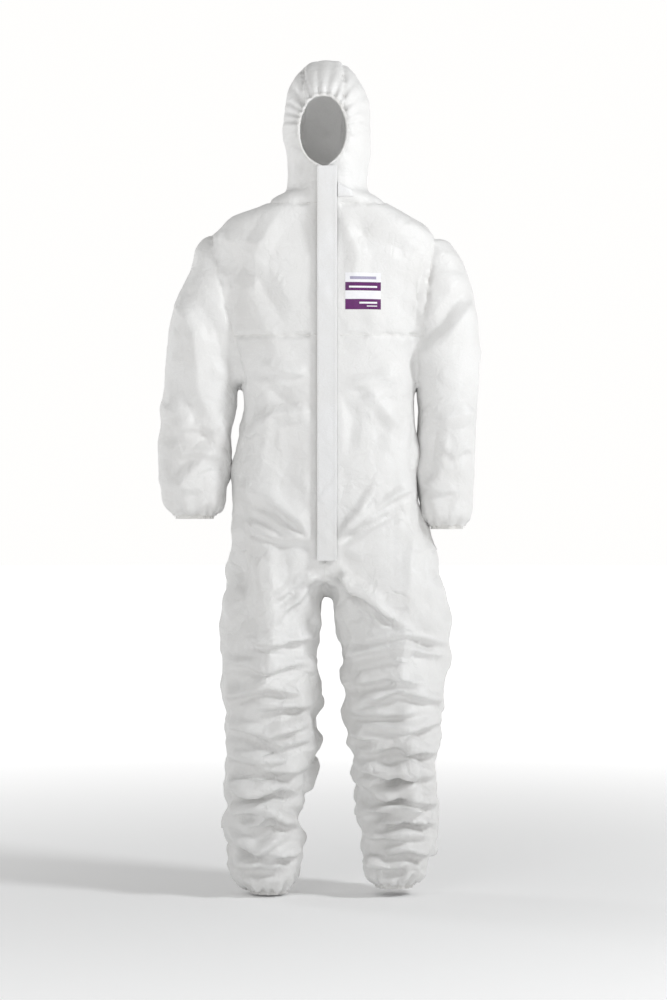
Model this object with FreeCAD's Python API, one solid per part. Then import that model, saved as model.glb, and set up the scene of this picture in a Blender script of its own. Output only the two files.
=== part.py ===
"""A hooded chemical protective coverall, shown filled out as it is worn, in millimetres.

+Z is up, the front faces -Y, and the wearer's left is +X. The origin is the middle of the neck, level with
the side ends of the neck seam, where the garment sits on its wearer or hanger.
Cloth is drawn WALL thick, so that every panel is a closed solid; the real laminate is 0.3 mm.
"""
import FreeCAD, Part
import math
import os
from FreeCAD import Vector

os.makedirs("parts", exist_ok=True)

# ---------------------------------------------------------------- driving dimensions
WALL = 1.8              # drawn thickness of the cloth
SEAM_GAP = 0.3          # clearance between cloth of different bodies
SQUARENESS = 2.6        # exponent of the sections: 2 is an ellipse, more is boxier
RING_POINTS = 16        # points that each section's spline passes through
RING_START = 55.0       # where each spline closes on itself, in degrees, clear of every panel seam
FAR = 3000.0            # reach of the boxes that trim shapes

FRONT = -118.0          # front of the body at the zip, a straight plumb line from chin to crotch
CREASE_Z = 110.0        # below this the hood folds when it tips
CHEST_SEAM_Z = -288.0
WAIST_Z = -505.0
CROTCH_Z = -825.0
THIGH_Z = -955.0        # above this the leg folds when it swings
ARMPIT_Z = -405.0       # above this the sleeve folds when it lifts
SIDE_SEAM_Y = 4.0

# Sections from the lowest up: z, right side x, left side x, front y, back y
TRUNK = [
    (CROTCH_Z, -221, 258, FRONT, 112),
    (-780, -216, 243, FRONT, 120),
    (-700, -202, 208, FRONT, 124),
    (-630, -199, 197, FRONT, 118),
    (-560, -198, 195, FRONT, 104),
    (-490, -188, 194, FRONT, 94),
    (-420, -177, 194, FRONT, 100),
    (-330, -202, 197, FRONT, 114),
    (-200, -216, 211, FRONT, 118),
    (-100, -232, 222, FRONT, 104),
    (-62, -237, 218, FRONT, 92),
    (-40, -214, 188, FRONT, 86),
    (-18, -146, 134, FRONT, 82),
    (0, -85, 88, FRONT, 80),
]
HOOD = [
    (SEAM_GAP, -84, 87, FRONT, 80),
    (60, -80, 88, FRONT, 90),
    (110, -88, 92, FRONT, 104),
    (160, -95, 96, FRONT, 112),
    (220, -88, 86, -112, 104),
    (262, -68, 70, -92, 84),
    (292, -42, 46, -58, 52),
    (305, -14, 18, -20, 18),
]
RIGHT_SLEEVE = [
    (-684, -320, -242, -46, 30),
    (-660, -344, -226, -58, 46),
    (-620, -354, -212, -66, 58),
    (-540, -359, -206, -72, 66),
    (-420, -352, -188, -78, 74),
    (-330, -343, -190, -84, 80),
    (-250, -331, -176, -84, 80),
    (-150, -299, -178, -72, 66),
    (-90, -272, -186, -50, 44),
    (-66, -250, -196, -28, 22),
]
LEFT_SLEEVE = [
    (-706, 224, 300, -52, 24),
    (-682, 215, 315, -64, 40),
    (-645, 206, 325, -70, 52),
    (-560, 201, 318, -72, 62),
    (-440, 204, 327, -76, 70),
    (-405, 202, 329, -78, 72),
    (-330, 184, 333, -82, 78),
    (-250, 170, 325, -84, 80),
    (-150, 170, 295, -72, 66),
    (-90, 178, 258, -50, 44),
    (-70, 186, 240, -28, 22),
]
RIGHT_LEG = [
    (-1493, -155, -83, -52, 20),
    (-1465, -186, -72, -78, 44),
    (-1425, -202, -56, -88, 62),
    (-1300, -216, -52, -96, 84),
    (-1240, -220, -32, -100, 88),
    (-1100, -224, -24, -104, 98),
    (-955, -231, -20, -110, 106),
    (CROTCH_Z - SEAM_GAP, -221, -16, -114, 110),
]
LEFT_LEG = [
    (-1480, 111, 183, -54, 18),
    (-1455, 96, 203, -78, 42),
    (-1415, 84, 232, -88, 60),
    (-1300, 72, 245, -96, 82),
    (-1200, 46, 234, -98, 88),
    (-1070, 34, 258, -104, 98),
    (-955, 24, 275, -110, 106),
    (CROTCH_Z - SEAM_GAP, 16, 258, -114, 110),
]

HEM_HEIGHT = 13.0       # height of the hems that hold the wrist and ankle elastic
HEM_OUT, HEM_IN = 1.2, -3.0
ELASTIC_OUT, ELASTIC_IN = -0.4, -1.8
ELASTIC_MARGIN = 2.5    # cloth above and below the elastic in its hem
WAIST_ELASTIC_HEIGHT, WAIST_ELASTIC_FRONT_Y = 16.0, -40.0
WAIST_ELASTIC_OUT, WAIST_ELASTIC_IN = -WALL - 0.4, -WALL - 1.8
GUSSET_HALF_WIDTH, GUSSET_REACH, GUSSET_Y = 30.0, 100.0, -3.0

FACE_X, FACE_Z = -6.5, 149.0
FACE_HALF_WIDTH, FACE_HALF_HEIGHT = 52.0, 75.0
FACE_HEM = 7.0
FACE_HEM_OUT, FACE_HEM_IN = 1.0, -WALL - 1.4
FACE_ELASTIC_OUT, FACE_ELASTIC_IN = -0.4, -WALL + 0.2
FACE_ELASTIC_MARGIN = 2.0
FACE_CUT_Y = (-200.0, -15.0)                # the opening is cut through the hood's front only
DOME_Z = 200.0          # above this the hood closes over the head
CROWN_RIGHT_X, CROWN_LEFT_X = -48.0, 36.0   # seams of the hood's centre panel

ZIP_TOP, ZIP_BOTTOM = 62.0, -778.0
ZIP_SLOT = 7.0          # half the gap between the front edges
TAPE_WIDTH, TAPE_Y, TAPE_THICKNESS = 12.0, -115.1, 0.6
COIL_GAP, COIL_WIDTH, COIL_Y, COIL_HEIGHT = 0.6, 2.6, -117.6, 2.3
STOP_HEIGHT = 3.0
SLIDER_Z = 50.0         # middle of the slider with the zip closed
SLIDER_HALF_WIDTH, SLIDER_HALF_HEIGHT, SLIDER_PLATE = 5.4, 7.5, 1.1
SLIDER_FRONT, SLIDER_BACK = -119.3, -113.0
PIN_Z, PIN_Y, PIN_R, PIN_CLEARANCE = 53.0, -120.9, 0.75, 0.08
PULL_LENGTH, PULL_HALF_WIDTH, PULL_PLATE = 30.0, 4.6, 1.1
PULL_CORNER_R, PULL_WINDOW_HALF, PULL_SLOT_HALF = 2.2, 1.7, 1.8
LUG_R, LUG_HALF_WIDTH = 1.9, 1.2

FLAP_HINGE_X, FLAP_HINGE_Y = 25.0, -122.0
FLAP_EDGE_X = -17.0
FLAP_TOP, FLAP_BOTTOM = 71.0, -772.0
FLAP_FRONT, FLAP_THICKNESS = -125.4, 1.2
TAPE_STRIP = (-15.0, -5.0)      # x range of the flap's adhesive
ADHESIVE, LINER = 0.35, 0.25

LABEL_X, LABEL_Z = (43.0, 119.0), (-234.0, -156.0)
LABEL_LIFT, LABEL_THICKNESS = 0.1, 0.4
SIZE_LABEL_WIDTH, SIZE_LABEL_HEIGHT, SIZE_LABEL_THICKNESS = 42.0, 52.0, 0.5
SIZE_LABEL_Y, SIZE_LABEL_TOP = 76.0, -8.0

CHIN_GUARD_Z = (2.0, 38.0)      # low edge, and high edge beside the flap
CHIN_GUARD_END = (86.0, 5.0)    # x and height of its narrow end
CHIN_GUARD_THICKNESS = 1.0


# ---------------------------------------------------------------- helpers
def ring(z, x0, x1, y0, y1, grow):
    """A closed spline round one section, grown outwards by grow."""
    mid_x, mid_y = (x0 + x1) / 2, (y0 + y1) / 2
    a, b = (x1 - x0) / 2 + grow, (y1 - y0) / 2 + grow
    points = []
    for i in range(RING_POINTS):
        angle = math.radians(RING_START) + 2 * math.pi * i / RING_POINTS
        c, s = math.cos(angle), math.sin(angle)
        points.append(Vector(
            mid_x + a * math.copysign(abs(c) ** (2 / SQUARENESS), c),
            mid_y + b * math.copysign(abs(s) ** (2 / SQUARENESS), s),
            z,
        ))
    curve = Part.BSplineCurve()
    curve.interpolate(Points=points, PeriodicFlag=True)
    return Part.Wire([curve.toShape()])


def skin(stations, grow=0.0, lift=0.0, extend=0.0):
    """A solid through the stations, grown by grow, raised by lift, its ends pushed outwards by extend."""
    rings = [(z + lift, x0, x1, y0, y1) for z, x0, x1, y0, y1 in stations]
    if extend:
        low, high = rings[0], rings[-1]
        rings = [(low[0] - extend, *low[1:]), *rings, (high[0] + extend, *high[1:])]
    return Part.makeLoft([ring(*r, grow) for r in rings], True, True)


def box(x=(-FAR, FAR), y=(-FAR, FAR), z=(-FAR, FAR)):
    return Part.makeBox(x[1] - x[0], y[1] - y[0], z[1] - z[0], Vector(x[0], y[0], z[0]))


def prism_y(points, y0, y1):
    """A solid whose x and z outline is points, from y0 to y1."""
    corners = [Vector(x, y0, z) for x, z in points]
    return Part.Face(Part.makePolygon(corners + corners[:1])).extrude(Vector(0, y1 - y0, 0))


def face_prism(margin):
    """An oval prism along Y over the face opening, larger than it by margin."""
    oval = Part.Ellipse(Vector(0, 0, 0), FACE_HALF_HEIGHT + margin, FACE_HALF_WIDTH + margin)
    wire = Part.Wire([oval.toShape()])
    wire.rotate(Vector(0, 0, 0), Vector(0, 1, 0), -90)
    wire.rotate(Vector(0, 0, 0), Vector(0, 0, 1), 90)
    wire.translate(Vector(FACE_X, FACE_CUT_Y[0], FACE_Z))
    return Part.Face(wire).extrude(Vector(0, FACE_CUT_Y[1] - FACE_CUT_Y[0], 0))


def export(name, shape):
    """Writes a node's solids, without trimming slivers, to its own file, and prints their volume."""
    largest = max(s.Volume for s in shape.Solids)
    solids = [s for s in shape.Solids if s.Volume > 0.02 * largest]
    out = solids[0] if len(solids) == 1 else Part.makeCompound(solids)
    out.exportStep("parts/" + name + ".step")
    print(f"{name:22s} {len(solids)} solid(s), {out.Volume / 1000:.2f} cm3, valid {out.isValid()}")


# ---------------------------------------------------------------- cloth shells
trunk_outside = skin(TRUNK)
trunk_inside = skin(TRUNK, -WALL, -WALL, 4.0)
trunk_clear = skin(TRUNK, SEAM_GAP, SEAM_GAP, 0.5)
armholes = skin(RIGHT_SLEEVE, -WALL).fuse(skin(LEFT_SLEEVE, -WALL))
zip_slot = box(x=(-ZIP_SLOT, ZIP_SLOT), y=(-FAR, 0), z=(ZIP_BOTTOM - 5, FAR))
trunk = trunk_outside.cut(trunk_inside).cut(armholes).cut(zip_slot)

FRONT_HALF, BACK_HALF = (-FAR, SIDE_SEAM_Y), (SIDE_SEAM_Y, FAR)
RIGHT_HALF, LEFT_HALF = (-FAR, 0), (0, FAR)


def trunk_panels():
    """The panels of the body, cut along their seams."""
    yoke_z, front_z, back_z = (CHEST_SEAM_Z, FAR), (-FAR, CHEST_SEAM_Z), (-FAR, WAIST_Z)
    export("right_front_yoke", trunk.common(box(RIGHT_HALF, FRONT_HALF, yoke_z)))
    export("left_front_yoke", trunk.common(box(LEFT_HALF, FRONT_HALF, yoke_z)))
    export("right_front_panel", trunk.common(box(RIGHT_HALF, FRONT_HALF, front_z)))
    export("left_front_panel", trunk.common(box(LEFT_HALF, FRONT_HALF, front_z)))
    export("upper_back_panel", trunk.common(box(y=BACK_HALF, z=(WAIST_Z, FAR))))
    export("right_back_panel", trunk.common(box(RIGHT_HALF, BACK_HALF, back_z)))
    export("left_back_panel", trunk.common(box(LEFT_HALF, BACK_HALF, back_z)))


def crotch_gusset():
    """A long diamond that closes the fork between the legs."""
    side, end = Vector(GUSSET_HALF_WIDTH, 0, 0), Vector(0, GUSSET_REACH, 0)
    diamond = Part.Face(Part.makePolygon([-side, -end, side, end, -side])).extrude(Vector(0, 0, WALL))
    diamond.translate(Vector(0, GUSSET_Y, CROTCH_Z))
    export("crotch_gusset", diamond)


def waist_elastic():
    """An elastic band stitched inside the back and sides at the waist."""
    band = skin(TRUNK, WAIST_ELASTIC_OUT).cut(skin(TRUNK, WAIST_ELASTIC_IN, 0, 1.0))
    level = (WAIST_Z - WAIST_ELASTIC_HEIGHT / 2, WAIST_Z + WAIST_ELASTIC_HEIGHT / 2)
    export("waist_elastic", band.common(box(y=(WAIST_ELASTIC_FRONT_Y, FAR), z=level)))


def labels():
    """The printed chest label on the left yoke, and the size label that hangs inside the nape."""
    sheet = skin(TRUNK, LABEL_LIFT + LABEL_THICKNESS).cut(skin(TRUNK, LABEL_LIFT, 0, 2.0))
    export("chest_label", sheet.common(box(LABEL_X, (-FAR, 0), LABEL_Z)))
    half = SIZE_LABEL_WIDTH / 2
    depth = (SIZE_LABEL_Y, SIZE_LABEL_Y + SIZE_LABEL_THICKNESS)
    export("neck_label", box((-half, half), depth, (SIZE_LABEL_TOP - SIZE_LABEL_HEIGHT, SIZE_LABEL_TOP)))


# ---------------------------------------------------------------- hood
def hood_panels():
    """The three hood panels above the crease, the folding part of each below it, and the face hem."""
    # the dome closes over the top, so its inside is lowered there as well as shrunk
    inner = [(z - (WALL if z > DOME_Z else 0), *rest) for z, *rest in HOOD]
    inner[0] = (HOOD[0][0] - 5, *HOOD[0][1:])
    inside = skin(inner, -WALL)
    shell = skin(HOOD).cut(inside)
    cloth = shell.cut(face_prism(FACE_HEM)).cut(zip_slot.common(box(z=(-FAR, ZIP_TOP + 3))))
    chin = box((CROWN_RIGHT_X, CROWN_LEFT_X), (-FAR, 0), (-FAR, CREASE_Z))
    centre = box((CROWN_RIGHT_X, CROWN_LEFT_X)).cut(chin)
    sides = cloth.cut(centre)
    above, below = box(z=(CREASE_Z + SEAM_GAP, FAR)), box(z=(-FAR, CREASE_Z))
    parts = {
        "centre": cloth.common(centre),
        "right": sides.common(box(x=(-FAR, 0))),
        "left": sides.common(box(x=(0, FAR))),
    }
    for side, panel in parts.items():
        export(f"hood_{side}_panel", panel.common(above))
        export(f"hood_{side}_neck", panel.common(below))

    thick = skin(HOOD, FACE_HEM_OUT).cut(skin(inner, FACE_HEM_IN))
    hem = thick.common(face_prism(FACE_HEM - 0.1)).cut(face_prism(0))
    core = skin(HOOD, FACE_ELASTIC_OUT).cut(skin(inner, FACE_ELASTIC_IN))
    elastic = core.common(face_prism(FACE_HEM - FACE_ELASTIC_MARGIN)).cut(face_prism(FACE_ELASTIC_MARGIN))
    export("face_hem", hem.cut(elastic))
    export("face_elastic", elastic)


def chin_guard():
    """A tapered patch of cloth over the left side of the neck, from the flap to the side of the hood."""
    patch = skin(HOOD, SEAM_GAP + CHIN_GUARD_THICKNESS).cut(skin(HOOD, SEAM_GAP, 0, 2.0))
    start_x, (end_x, end_z), (low, high) = FLAP_HINGE_X + 2, CHIN_GUARD_END, CHIN_GUARD_Z
    outline = [(start_x, low), (start_x, high), (end_x, end_z), (end_x, low)]
    export("chin_guard", patch.common(prism_y(outline, -FAR, -10)))


# ---------------------------------------------------------------- limbs
def hemmed_tube(stations, name, hem_name):
    """Exports the hem at a limb's lower end and the elastic in it, and returns the cloth above the hem."""
    z = stations[0][0]
    hem_zone = box(z=(z, z + HEM_HEIGHT))
    hem = skin(stations, HEM_OUT).cut(skin(stations, HEM_IN, 0, 3.0)).common(hem_zone)
    core = skin(stations, ELASTIC_OUT).cut(skin(stations, ELASTIC_IN, 0, 3.0))
    band = core.common(box(z=(z + ELASTIC_MARGIN, z + HEM_HEIGHT - ELASTIC_MARGIN)))
    export(hem_name + "_hem", hem.cut(band))
    export(hem_name + "_elastic", band)
    return skin(stations).cut(skin(stations, -WALL, 0, 3.0)).cut(box(z=(-FAR, z + HEM_HEIGHT)))


def sleeve(stations, side):
    cloth = hemmed_tube(stations, side + "_sleeve", side + "_wrist")
    export(side + "_sleeve", cloth.common(box(z=(-FAR, ARMPIT_Z))))
    export(side + "_sleeve_cap", cloth.common(box(z=(ARMPIT_Z, FAR))).cut(trunk_clear))


def leg(stations, side):
    cloth = hemmed_tube(stations, side + "_leg", side + "_ankle")
    for face, half in (("front", FRONT_HALF), ("back", BACK_HALF)):
        panel = cloth.common(box(y=half))
        export(f"{side}_leg_{face}", panel.common(box(z=(-FAR, THIGH_Z))))
        export(f"{side}_thigh_{face}", panel.common(box(z=(THIGH_Z, FAR))))


# ---------------------------------------------------------------- zip
def mirrored(shape):
    return shape.mirror(Vector(0, 0, 0), Vector(1, 0, 0))


def zip_chain():
    """Two tapes, a coil on each, a stop at each top end and one across the bottom."""
    tape = box((COIL_GAP, COIL_GAP + TAPE_WIDTH), (TAPE_Y, TAPE_Y + TAPE_THICKNESS), (ZIP_BOTTOM, ZIP_TOP))
    coil = box(
        (COIL_GAP, COIL_GAP + COIL_WIDTH),
        (COIL_Y, COIL_Y + COIL_HEIGHT),
        (ZIP_BOTTOM + STOP_HEIGHT, ZIP_TOP - STOP_HEIGHT),
    )
    coil = coil.makeFillet(0.5, [e for e in coil.Edges if abs(e.tangentAt(e.FirstParameter).z) > 0.9])
    stop = box((COIL_GAP, COIL_GAP + COIL_WIDTH), (COIL_Y, TAPE_Y), (ZIP_TOP - STOP_HEIGHT, ZIP_TOP))
    for side, shape_of in (("left", lambda s: s), ("right", mirrored)):
        export("zip_tape_" + side, shape_of(tape))
        export("zip_coil_" + side, shape_of(coil))
    export("zip_top_stops", Part.makeCompound([stop, mirrored(stop)]))
    half = COIL_GAP + COIL_WIDTH
    export("zip_bottom_stop", box((-half, half), (COIL_Y, TAPE_Y), (ZIP_BOTTOM, ZIP_BOTTOM + STOP_HEIGHT)))


def slider_plate(y):
    """One shield-shaped wing of the slider, wide at the top and narrow at the foot."""
    w, h, taper = SLIDER_HALF_WIDTH, SLIDER_HALF_HEIGHT, 1.2
    half = [(1.5, h), (w - taper, h - 1), (w, 2), (w - taper, -h)]
    outline = half + [(-x, z) for x, z in reversed(half)]
    return prism_y([(x, SLIDER_Z + z) for x, z in outline], y, y + SLIDER_PLATE)


def zip_slider():
    """Two wings joined by a thin bridge at the top, side flanges, and a lug with an eye for the pull."""
    front = slider_plate(SLIDER_FRONT)
    back = slider_plate(SLIDER_BACK - SLIDER_PLATE)
    bridge = box((-0.35, 0.35), (SLIDER_FRONT + 0.5, SLIDER_BACK - 0.5), (SLIDER_Z + 3.5, SLIDER_Z + 7))
    flange = box(
        (SLIDER_HALF_WIDTH - 2.1, SLIDER_HALF_WIDTH - 1.2),
        (SLIDER_FRONT + 0.5, TAPE_Y - 0.35),
        (SLIDER_Z - SLIDER_HALF_HEIGHT, SLIDER_Z + 3),
    )
    eye = Part.makeCylinder(LUG_R, 2 * LUG_HALF_WIDTH, Vector(-LUG_HALF_WIDTH, PIN_Y, PIN_Z), Vector(1, 0, 0))
    foot_z = (PIN_Z - LUG_R, PIN_Z + LUG_R)
    foot = box((-LUG_HALF_WIDTH, LUG_HALF_WIDTH), (PIN_Y, SLIDER_FRONT + 0.3), foot_z)
    hole = Part.makeCylinder(PIN_R + PIN_CLEARANCE, 4, Vector(-2, PIN_Y, PIN_Z), Vector(1, 0, 0))
    lug = eye.fuse(foot).cut(box(y=(SLIDER_FRONT + 0.3, FAR))).cut(hole)
    body = front.fuse([back, bridge, flange, mirrored(flange), lug])
    export("zip_slider", body.removeSplitter())


def zip_pull():
    """A bar through the slider's eye, two arms past the lug, and a flat tab with a long slot."""
    bar_start = Vector(0.5 - PULL_HALF_WIDTH, PIN_Y, PIN_Z)
    bar = Part.makeCylinder(PIN_R, 2 * PULL_HALF_WIDTH - 1, bar_start, Vector(1, 0, 0))
    half = PULL_PLATE / 2
    plate = box(
        (-PULL_HALF_WIDTH, PULL_HALF_WIDTH), (PIN_Y - half, PIN_Y + half), (PIN_Z - PULL_LENGTH, PIN_Z + 0.8)
    )
    through = (PIN_Y - 2, PIN_Y + 2)
    upright = [e for e in plate.Edges if abs(e.tangentAt(e.FirstParameter).y) > 0.9]
    plate = plate.makeFillet(PULL_CORNER_R, [e for e in upright if e.BoundBox.ZMax < PIN_Z - 5])
    window = box((-PULL_WINDOW_HALF, PULL_WINDOW_HALF), through, (PIN_Z - 3.4, PIN_Z + 3))
    slot_z = (PIN_Z - PULL_LENGTH + 4, PIN_Z - PULL_LENGTH + 14)
    slot = box((-PULL_SLOT_HALF, PULL_SLOT_HALF), through, slot_z)
    export("zip_pull", plate.cut(window).cut(slot).fuse(bar).removeSplitter())


# ---------------------------------------------------------------- flap over the zip
def storm_flap():
    """The flap over the zip, sewn along its left edge, with adhesive and a liner near the free edge."""
    back = FLAP_FRONT + FLAP_THICKNESS
    sheet = box((FLAP_EDGE_X, FLAP_HINGE_X), (FLAP_FRONT, back), (FLAP_BOTTOM, FLAP_TOP))
    root = box(
        (FLAP_HINGE_X - FLAP_THICKNESS, FLAP_HINGE_X), (back - 0.1, FRONT - 0.8), (FLAP_BOTTOM, FLAP_TOP)
    )
    export("storm_flap", sheet.fuse(root).removeSplitter())
    strip_z = (FLAP_BOTTOM + 10, FLAP_TOP - 6)
    export("flap_adhesive", box(TAPE_STRIP, (back, back + ADHESIVE), strip_z))
    export("flap_liner", box(TAPE_STRIP, (back + ADHESIVE, back + ADHESIVE + LINER), strip_z))


trunk_panels()
crotch_gusset()
waist_elastic()
labels()
hood_panels()
chin_guard()
sleeve(RIGHT_SLEEVE, "right")
sleeve(LEFT_SLEEVE, "left")
leg(RIGHT_LEG, "right")
leg(LEFT_LEG, "left")
zip_chain()
zip_slider()
zip_pull()
storm_flap()
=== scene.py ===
"""Looks of the hooded protective coverall: laminate panels, gathered hems, zip, flap, label and setting."""

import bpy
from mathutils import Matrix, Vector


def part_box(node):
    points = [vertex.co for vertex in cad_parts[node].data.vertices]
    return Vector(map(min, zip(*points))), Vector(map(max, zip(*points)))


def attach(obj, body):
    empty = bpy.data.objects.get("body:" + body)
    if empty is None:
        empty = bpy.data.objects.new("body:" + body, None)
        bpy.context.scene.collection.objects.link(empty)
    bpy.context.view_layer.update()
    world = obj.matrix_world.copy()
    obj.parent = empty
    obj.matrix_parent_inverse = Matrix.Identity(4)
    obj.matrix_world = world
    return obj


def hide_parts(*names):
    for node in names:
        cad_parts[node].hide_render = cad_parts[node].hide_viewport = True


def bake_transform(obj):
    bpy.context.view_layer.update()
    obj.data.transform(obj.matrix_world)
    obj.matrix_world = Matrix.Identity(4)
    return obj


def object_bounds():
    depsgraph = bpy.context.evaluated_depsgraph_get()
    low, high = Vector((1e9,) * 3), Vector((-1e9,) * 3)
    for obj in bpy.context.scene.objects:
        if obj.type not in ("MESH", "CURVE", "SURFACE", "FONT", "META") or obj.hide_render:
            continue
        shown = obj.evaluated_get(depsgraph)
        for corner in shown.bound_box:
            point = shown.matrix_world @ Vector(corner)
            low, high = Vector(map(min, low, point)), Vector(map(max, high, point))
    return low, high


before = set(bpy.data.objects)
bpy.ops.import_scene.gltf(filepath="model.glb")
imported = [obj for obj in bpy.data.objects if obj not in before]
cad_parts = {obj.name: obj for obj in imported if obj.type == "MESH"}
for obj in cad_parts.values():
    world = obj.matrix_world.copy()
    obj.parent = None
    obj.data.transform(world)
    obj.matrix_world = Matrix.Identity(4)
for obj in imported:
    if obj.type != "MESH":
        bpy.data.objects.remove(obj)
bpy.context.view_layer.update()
import math
from collections import Counter

import bmesh
import bpy
import numpy as np
from mathutils import Vector, noise
from mathutils.bvhtree import BVHTree
from mathutils.kdtree import KDTree

DATA = bpy.data
FRONT = -0.118                      # the zip's plumb front plane
CHEST_SEAM, WAIST, CROTCH, NECK_SEAM = -0.288, -0.505, -0.820, -0.007
SIDE_SEAM = 0.004
NECK_TILT = 0.13                    # how much higher the neck seam is, for each metre back
FACE_CENTRE, FACE_HALF = (-0.0045, 0.149), (0.0525, 0.0765)
VOXEL = 0.0085

# ------------------------------------------------------------------ shape tables, in metres
# z, then the right side's x and the left side's x, then the front's y and the back's y
TRUNK = [
    (-0.822, -0.216, 0.258, -0.106, 0.102), (-0.800, -0.215, 0.255, -0.112, 0.110),
    (-0.750, -0.208, 0.239, -0.118, 0.120), (-0.700, -0.203, 0.216, -0.118, 0.122),
    (-0.630, -0.200, 0.200, -0.118, 0.116), (-0.560, -0.196, 0.196, -0.118, 0.104),
    (-0.500, -0.186, 0.194, -0.118, 0.094), (-0.430, -0.174, 0.192, -0.118, 0.098),
    (-0.350, -0.196, 0.198, -0.118, 0.110), (-0.200, -0.214, 0.210, -0.118, 0.116),
    (-0.110, -0.232, 0.226, -0.118, 0.104), (-0.075, -0.242, 0.236, -0.114, 0.092),
    (-0.046, -0.232, 0.224, -0.112, 0.084), (-0.026, -0.190, 0.184, -0.113, 0.080),
    (-0.008, -0.150, 0.152, -0.115, 0.080), (0.006, -0.112, 0.118, -0.117, 0.080),
    (0.016, -0.090, 0.098, -0.118, 0.080),
]
HOOD = [
    (-0.010, -0.086, 0.092, -0.118, 0.080), (0.020, -0.084, 0.091, -0.118, 0.082),
    (0.060, -0.079, 0.092, -0.118, 0.090), (0.110, -0.084, 0.096, -0.118, 0.104),
    (0.160, -0.093, 0.100, -0.118, 0.112), (0.205, -0.087, 0.100, -0.114, 0.108),
    (0.235, -0.081, 0.091, -0.106, 0.098), (0.262, -0.074, 0.078, -0.090, 0.084),
    (0.285, -0.060, 0.066, -0.070, 0.066), (0.303, -0.040, 0.050, -0.046, 0.042),
    (0.313, -0.018, 0.026, -0.020, 0.018),
]
RIGHT_SLEEVE = [
    (-0.700, -0.314, -0.250, -0.040, 0.024), (-0.675, -0.319, -0.246, -0.044, 0.028),
    (-0.666, -0.336, -0.232, -0.057, 0.043),
    (-0.655, -0.346, -0.223, -0.063, 0.050), (-0.640, -0.353, -0.214, -0.068, 0.056),
    (-0.600, -0.359, -0.206, -0.072, 0.062), (-0.520, -0.358, -0.203, -0.074, 0.068),
    (-0.414, -0.350, -0.190, -0.078, 0.074), (-0.330, -0.345, -0.180, -0.084, 0.080),
    (-0.273, -0.340, -0.176, -0.086, 0.082), (-0.200, -0.320, -0.170, -0.080, 0.074),
    (-0.130, -0.291, -0.170, -0.066, 0.060), (-0.090, -0.276, -0.176, -0.054, 0.046),
    (-0.066, -0.258, -0.180, -0.038, 0.032),
]
LEFT_SLEEVE = [
    (-0.722, 0.234, 0.292, -0.044, 0.018), (-0.697, 0.230, 0.296, -0.048, 0.023),
    (-0.688, 0.220, 0.309, -0.058, 0.035),
    (-0.677, 0.213, 0.317, -0.065, 0.044), (-0.660, 0.208, 0.324, -0.070, 0.052),
    (-0.620, 0.202, 0.324, -0.072, 0.060), (-0.540, 0.202, 0.322, -0.074, 0.066),
    (-0.420, 0.200, 0.330, -0.078, 0.072), (-0.330, 0.186, 0.336, -0.084, 0.080),
    (-0.237, 0.170, 0.330, -0.086, 0.082), (-0.165, 0.164, 0.316, -0.076, 0.070),
    (-0.100, 0.168, 0.288, -0.056, 0.050), (-0.070, 0.176, 0.262, -0.038, 0.032),
]
RIGHT_LEG = [
    (-1.518, -0.150, -0.088, -0.044, 0.014), (-1.484, -0.157, -0.083, -0.052, 0.022),
    (-1.470, -0.180, -0.070, -0.076, 0.046), (-1.440, -0.192, -0.062, -0.086, 0.060),
    (-1.391, -0.200, -0.054, -0.092, 0.074), (-1.309, -0.209, -0.053, -0.098, 0.086),
    (-1.250, -0.214, -0.046, -0.102, 0.092), (-1.176, -0.216, -0.024, -0.106, 0.098),
    (-1.070, -0.221, -0.019, -0.108, 0.102), (-0.960, -0.229, -0.017, -0.111, 0.106),
    (-0.880, -0.224, -0.010, -0.113, 0.108), (-0.820, -0.218, 0.000, -0.114, 0.110),
    (-0.760, -0.200, 0.010, -0.108, 0.100),
]
LEFT_LEG = [
    (-1.505, 0.118, 0.176, -0.046, 0.012), (-1.471, 0.111, 0.183, -0.054, 0.020),
    (-1.458, 0.094, 0.210, -0.078, 0.044), (-1.420, 0.086, 0.226, -0.088, 0.060),
    (-1.367, 0.079, 0.240, -0.094, 0.074), (-1.285, 0.074, 0.246, -0.099, 0.086),
    (-1.220, 0.060, 0.240, -0.103, 0.092), (-1.130, 0.046, 0.250, -0.107, 0.098),
    (-1.060, 0.046, 0.262, -0.108, 0.102), (-0.980, 0.034, 0.272, -0.111, 0.106),
    (-0.900, 0.021, 0.272, -0.113, 0.108), (-0.820, 0.010, 0.262, -0.114, 0.110),
    (-0.760, 0.000, 0.230, -0.108, 0.100),
]
WRISTS = {"right": -0.672, "left": -0.694}      # where the cloth ends and the hems begin
ANKLES = {"right": -1.481, "left": -1.468}
WRIST_X = {"right": -0.281, "left": 0.263}      # the middles of those openings
ANKLE_X = {"right": -0.122, "left": 0.148}
SPREAD = 0.030                      # the sleeves are held this far out while the surface is made
FOLD_FRONT, FOLD_PROUD = -0.128, 0.010   # folds come less and less far before this plane, and at most so much
CRISP_WIDTH = 0.75                  # how wide the folds are on the finer mesh, against the settled ones

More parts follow.
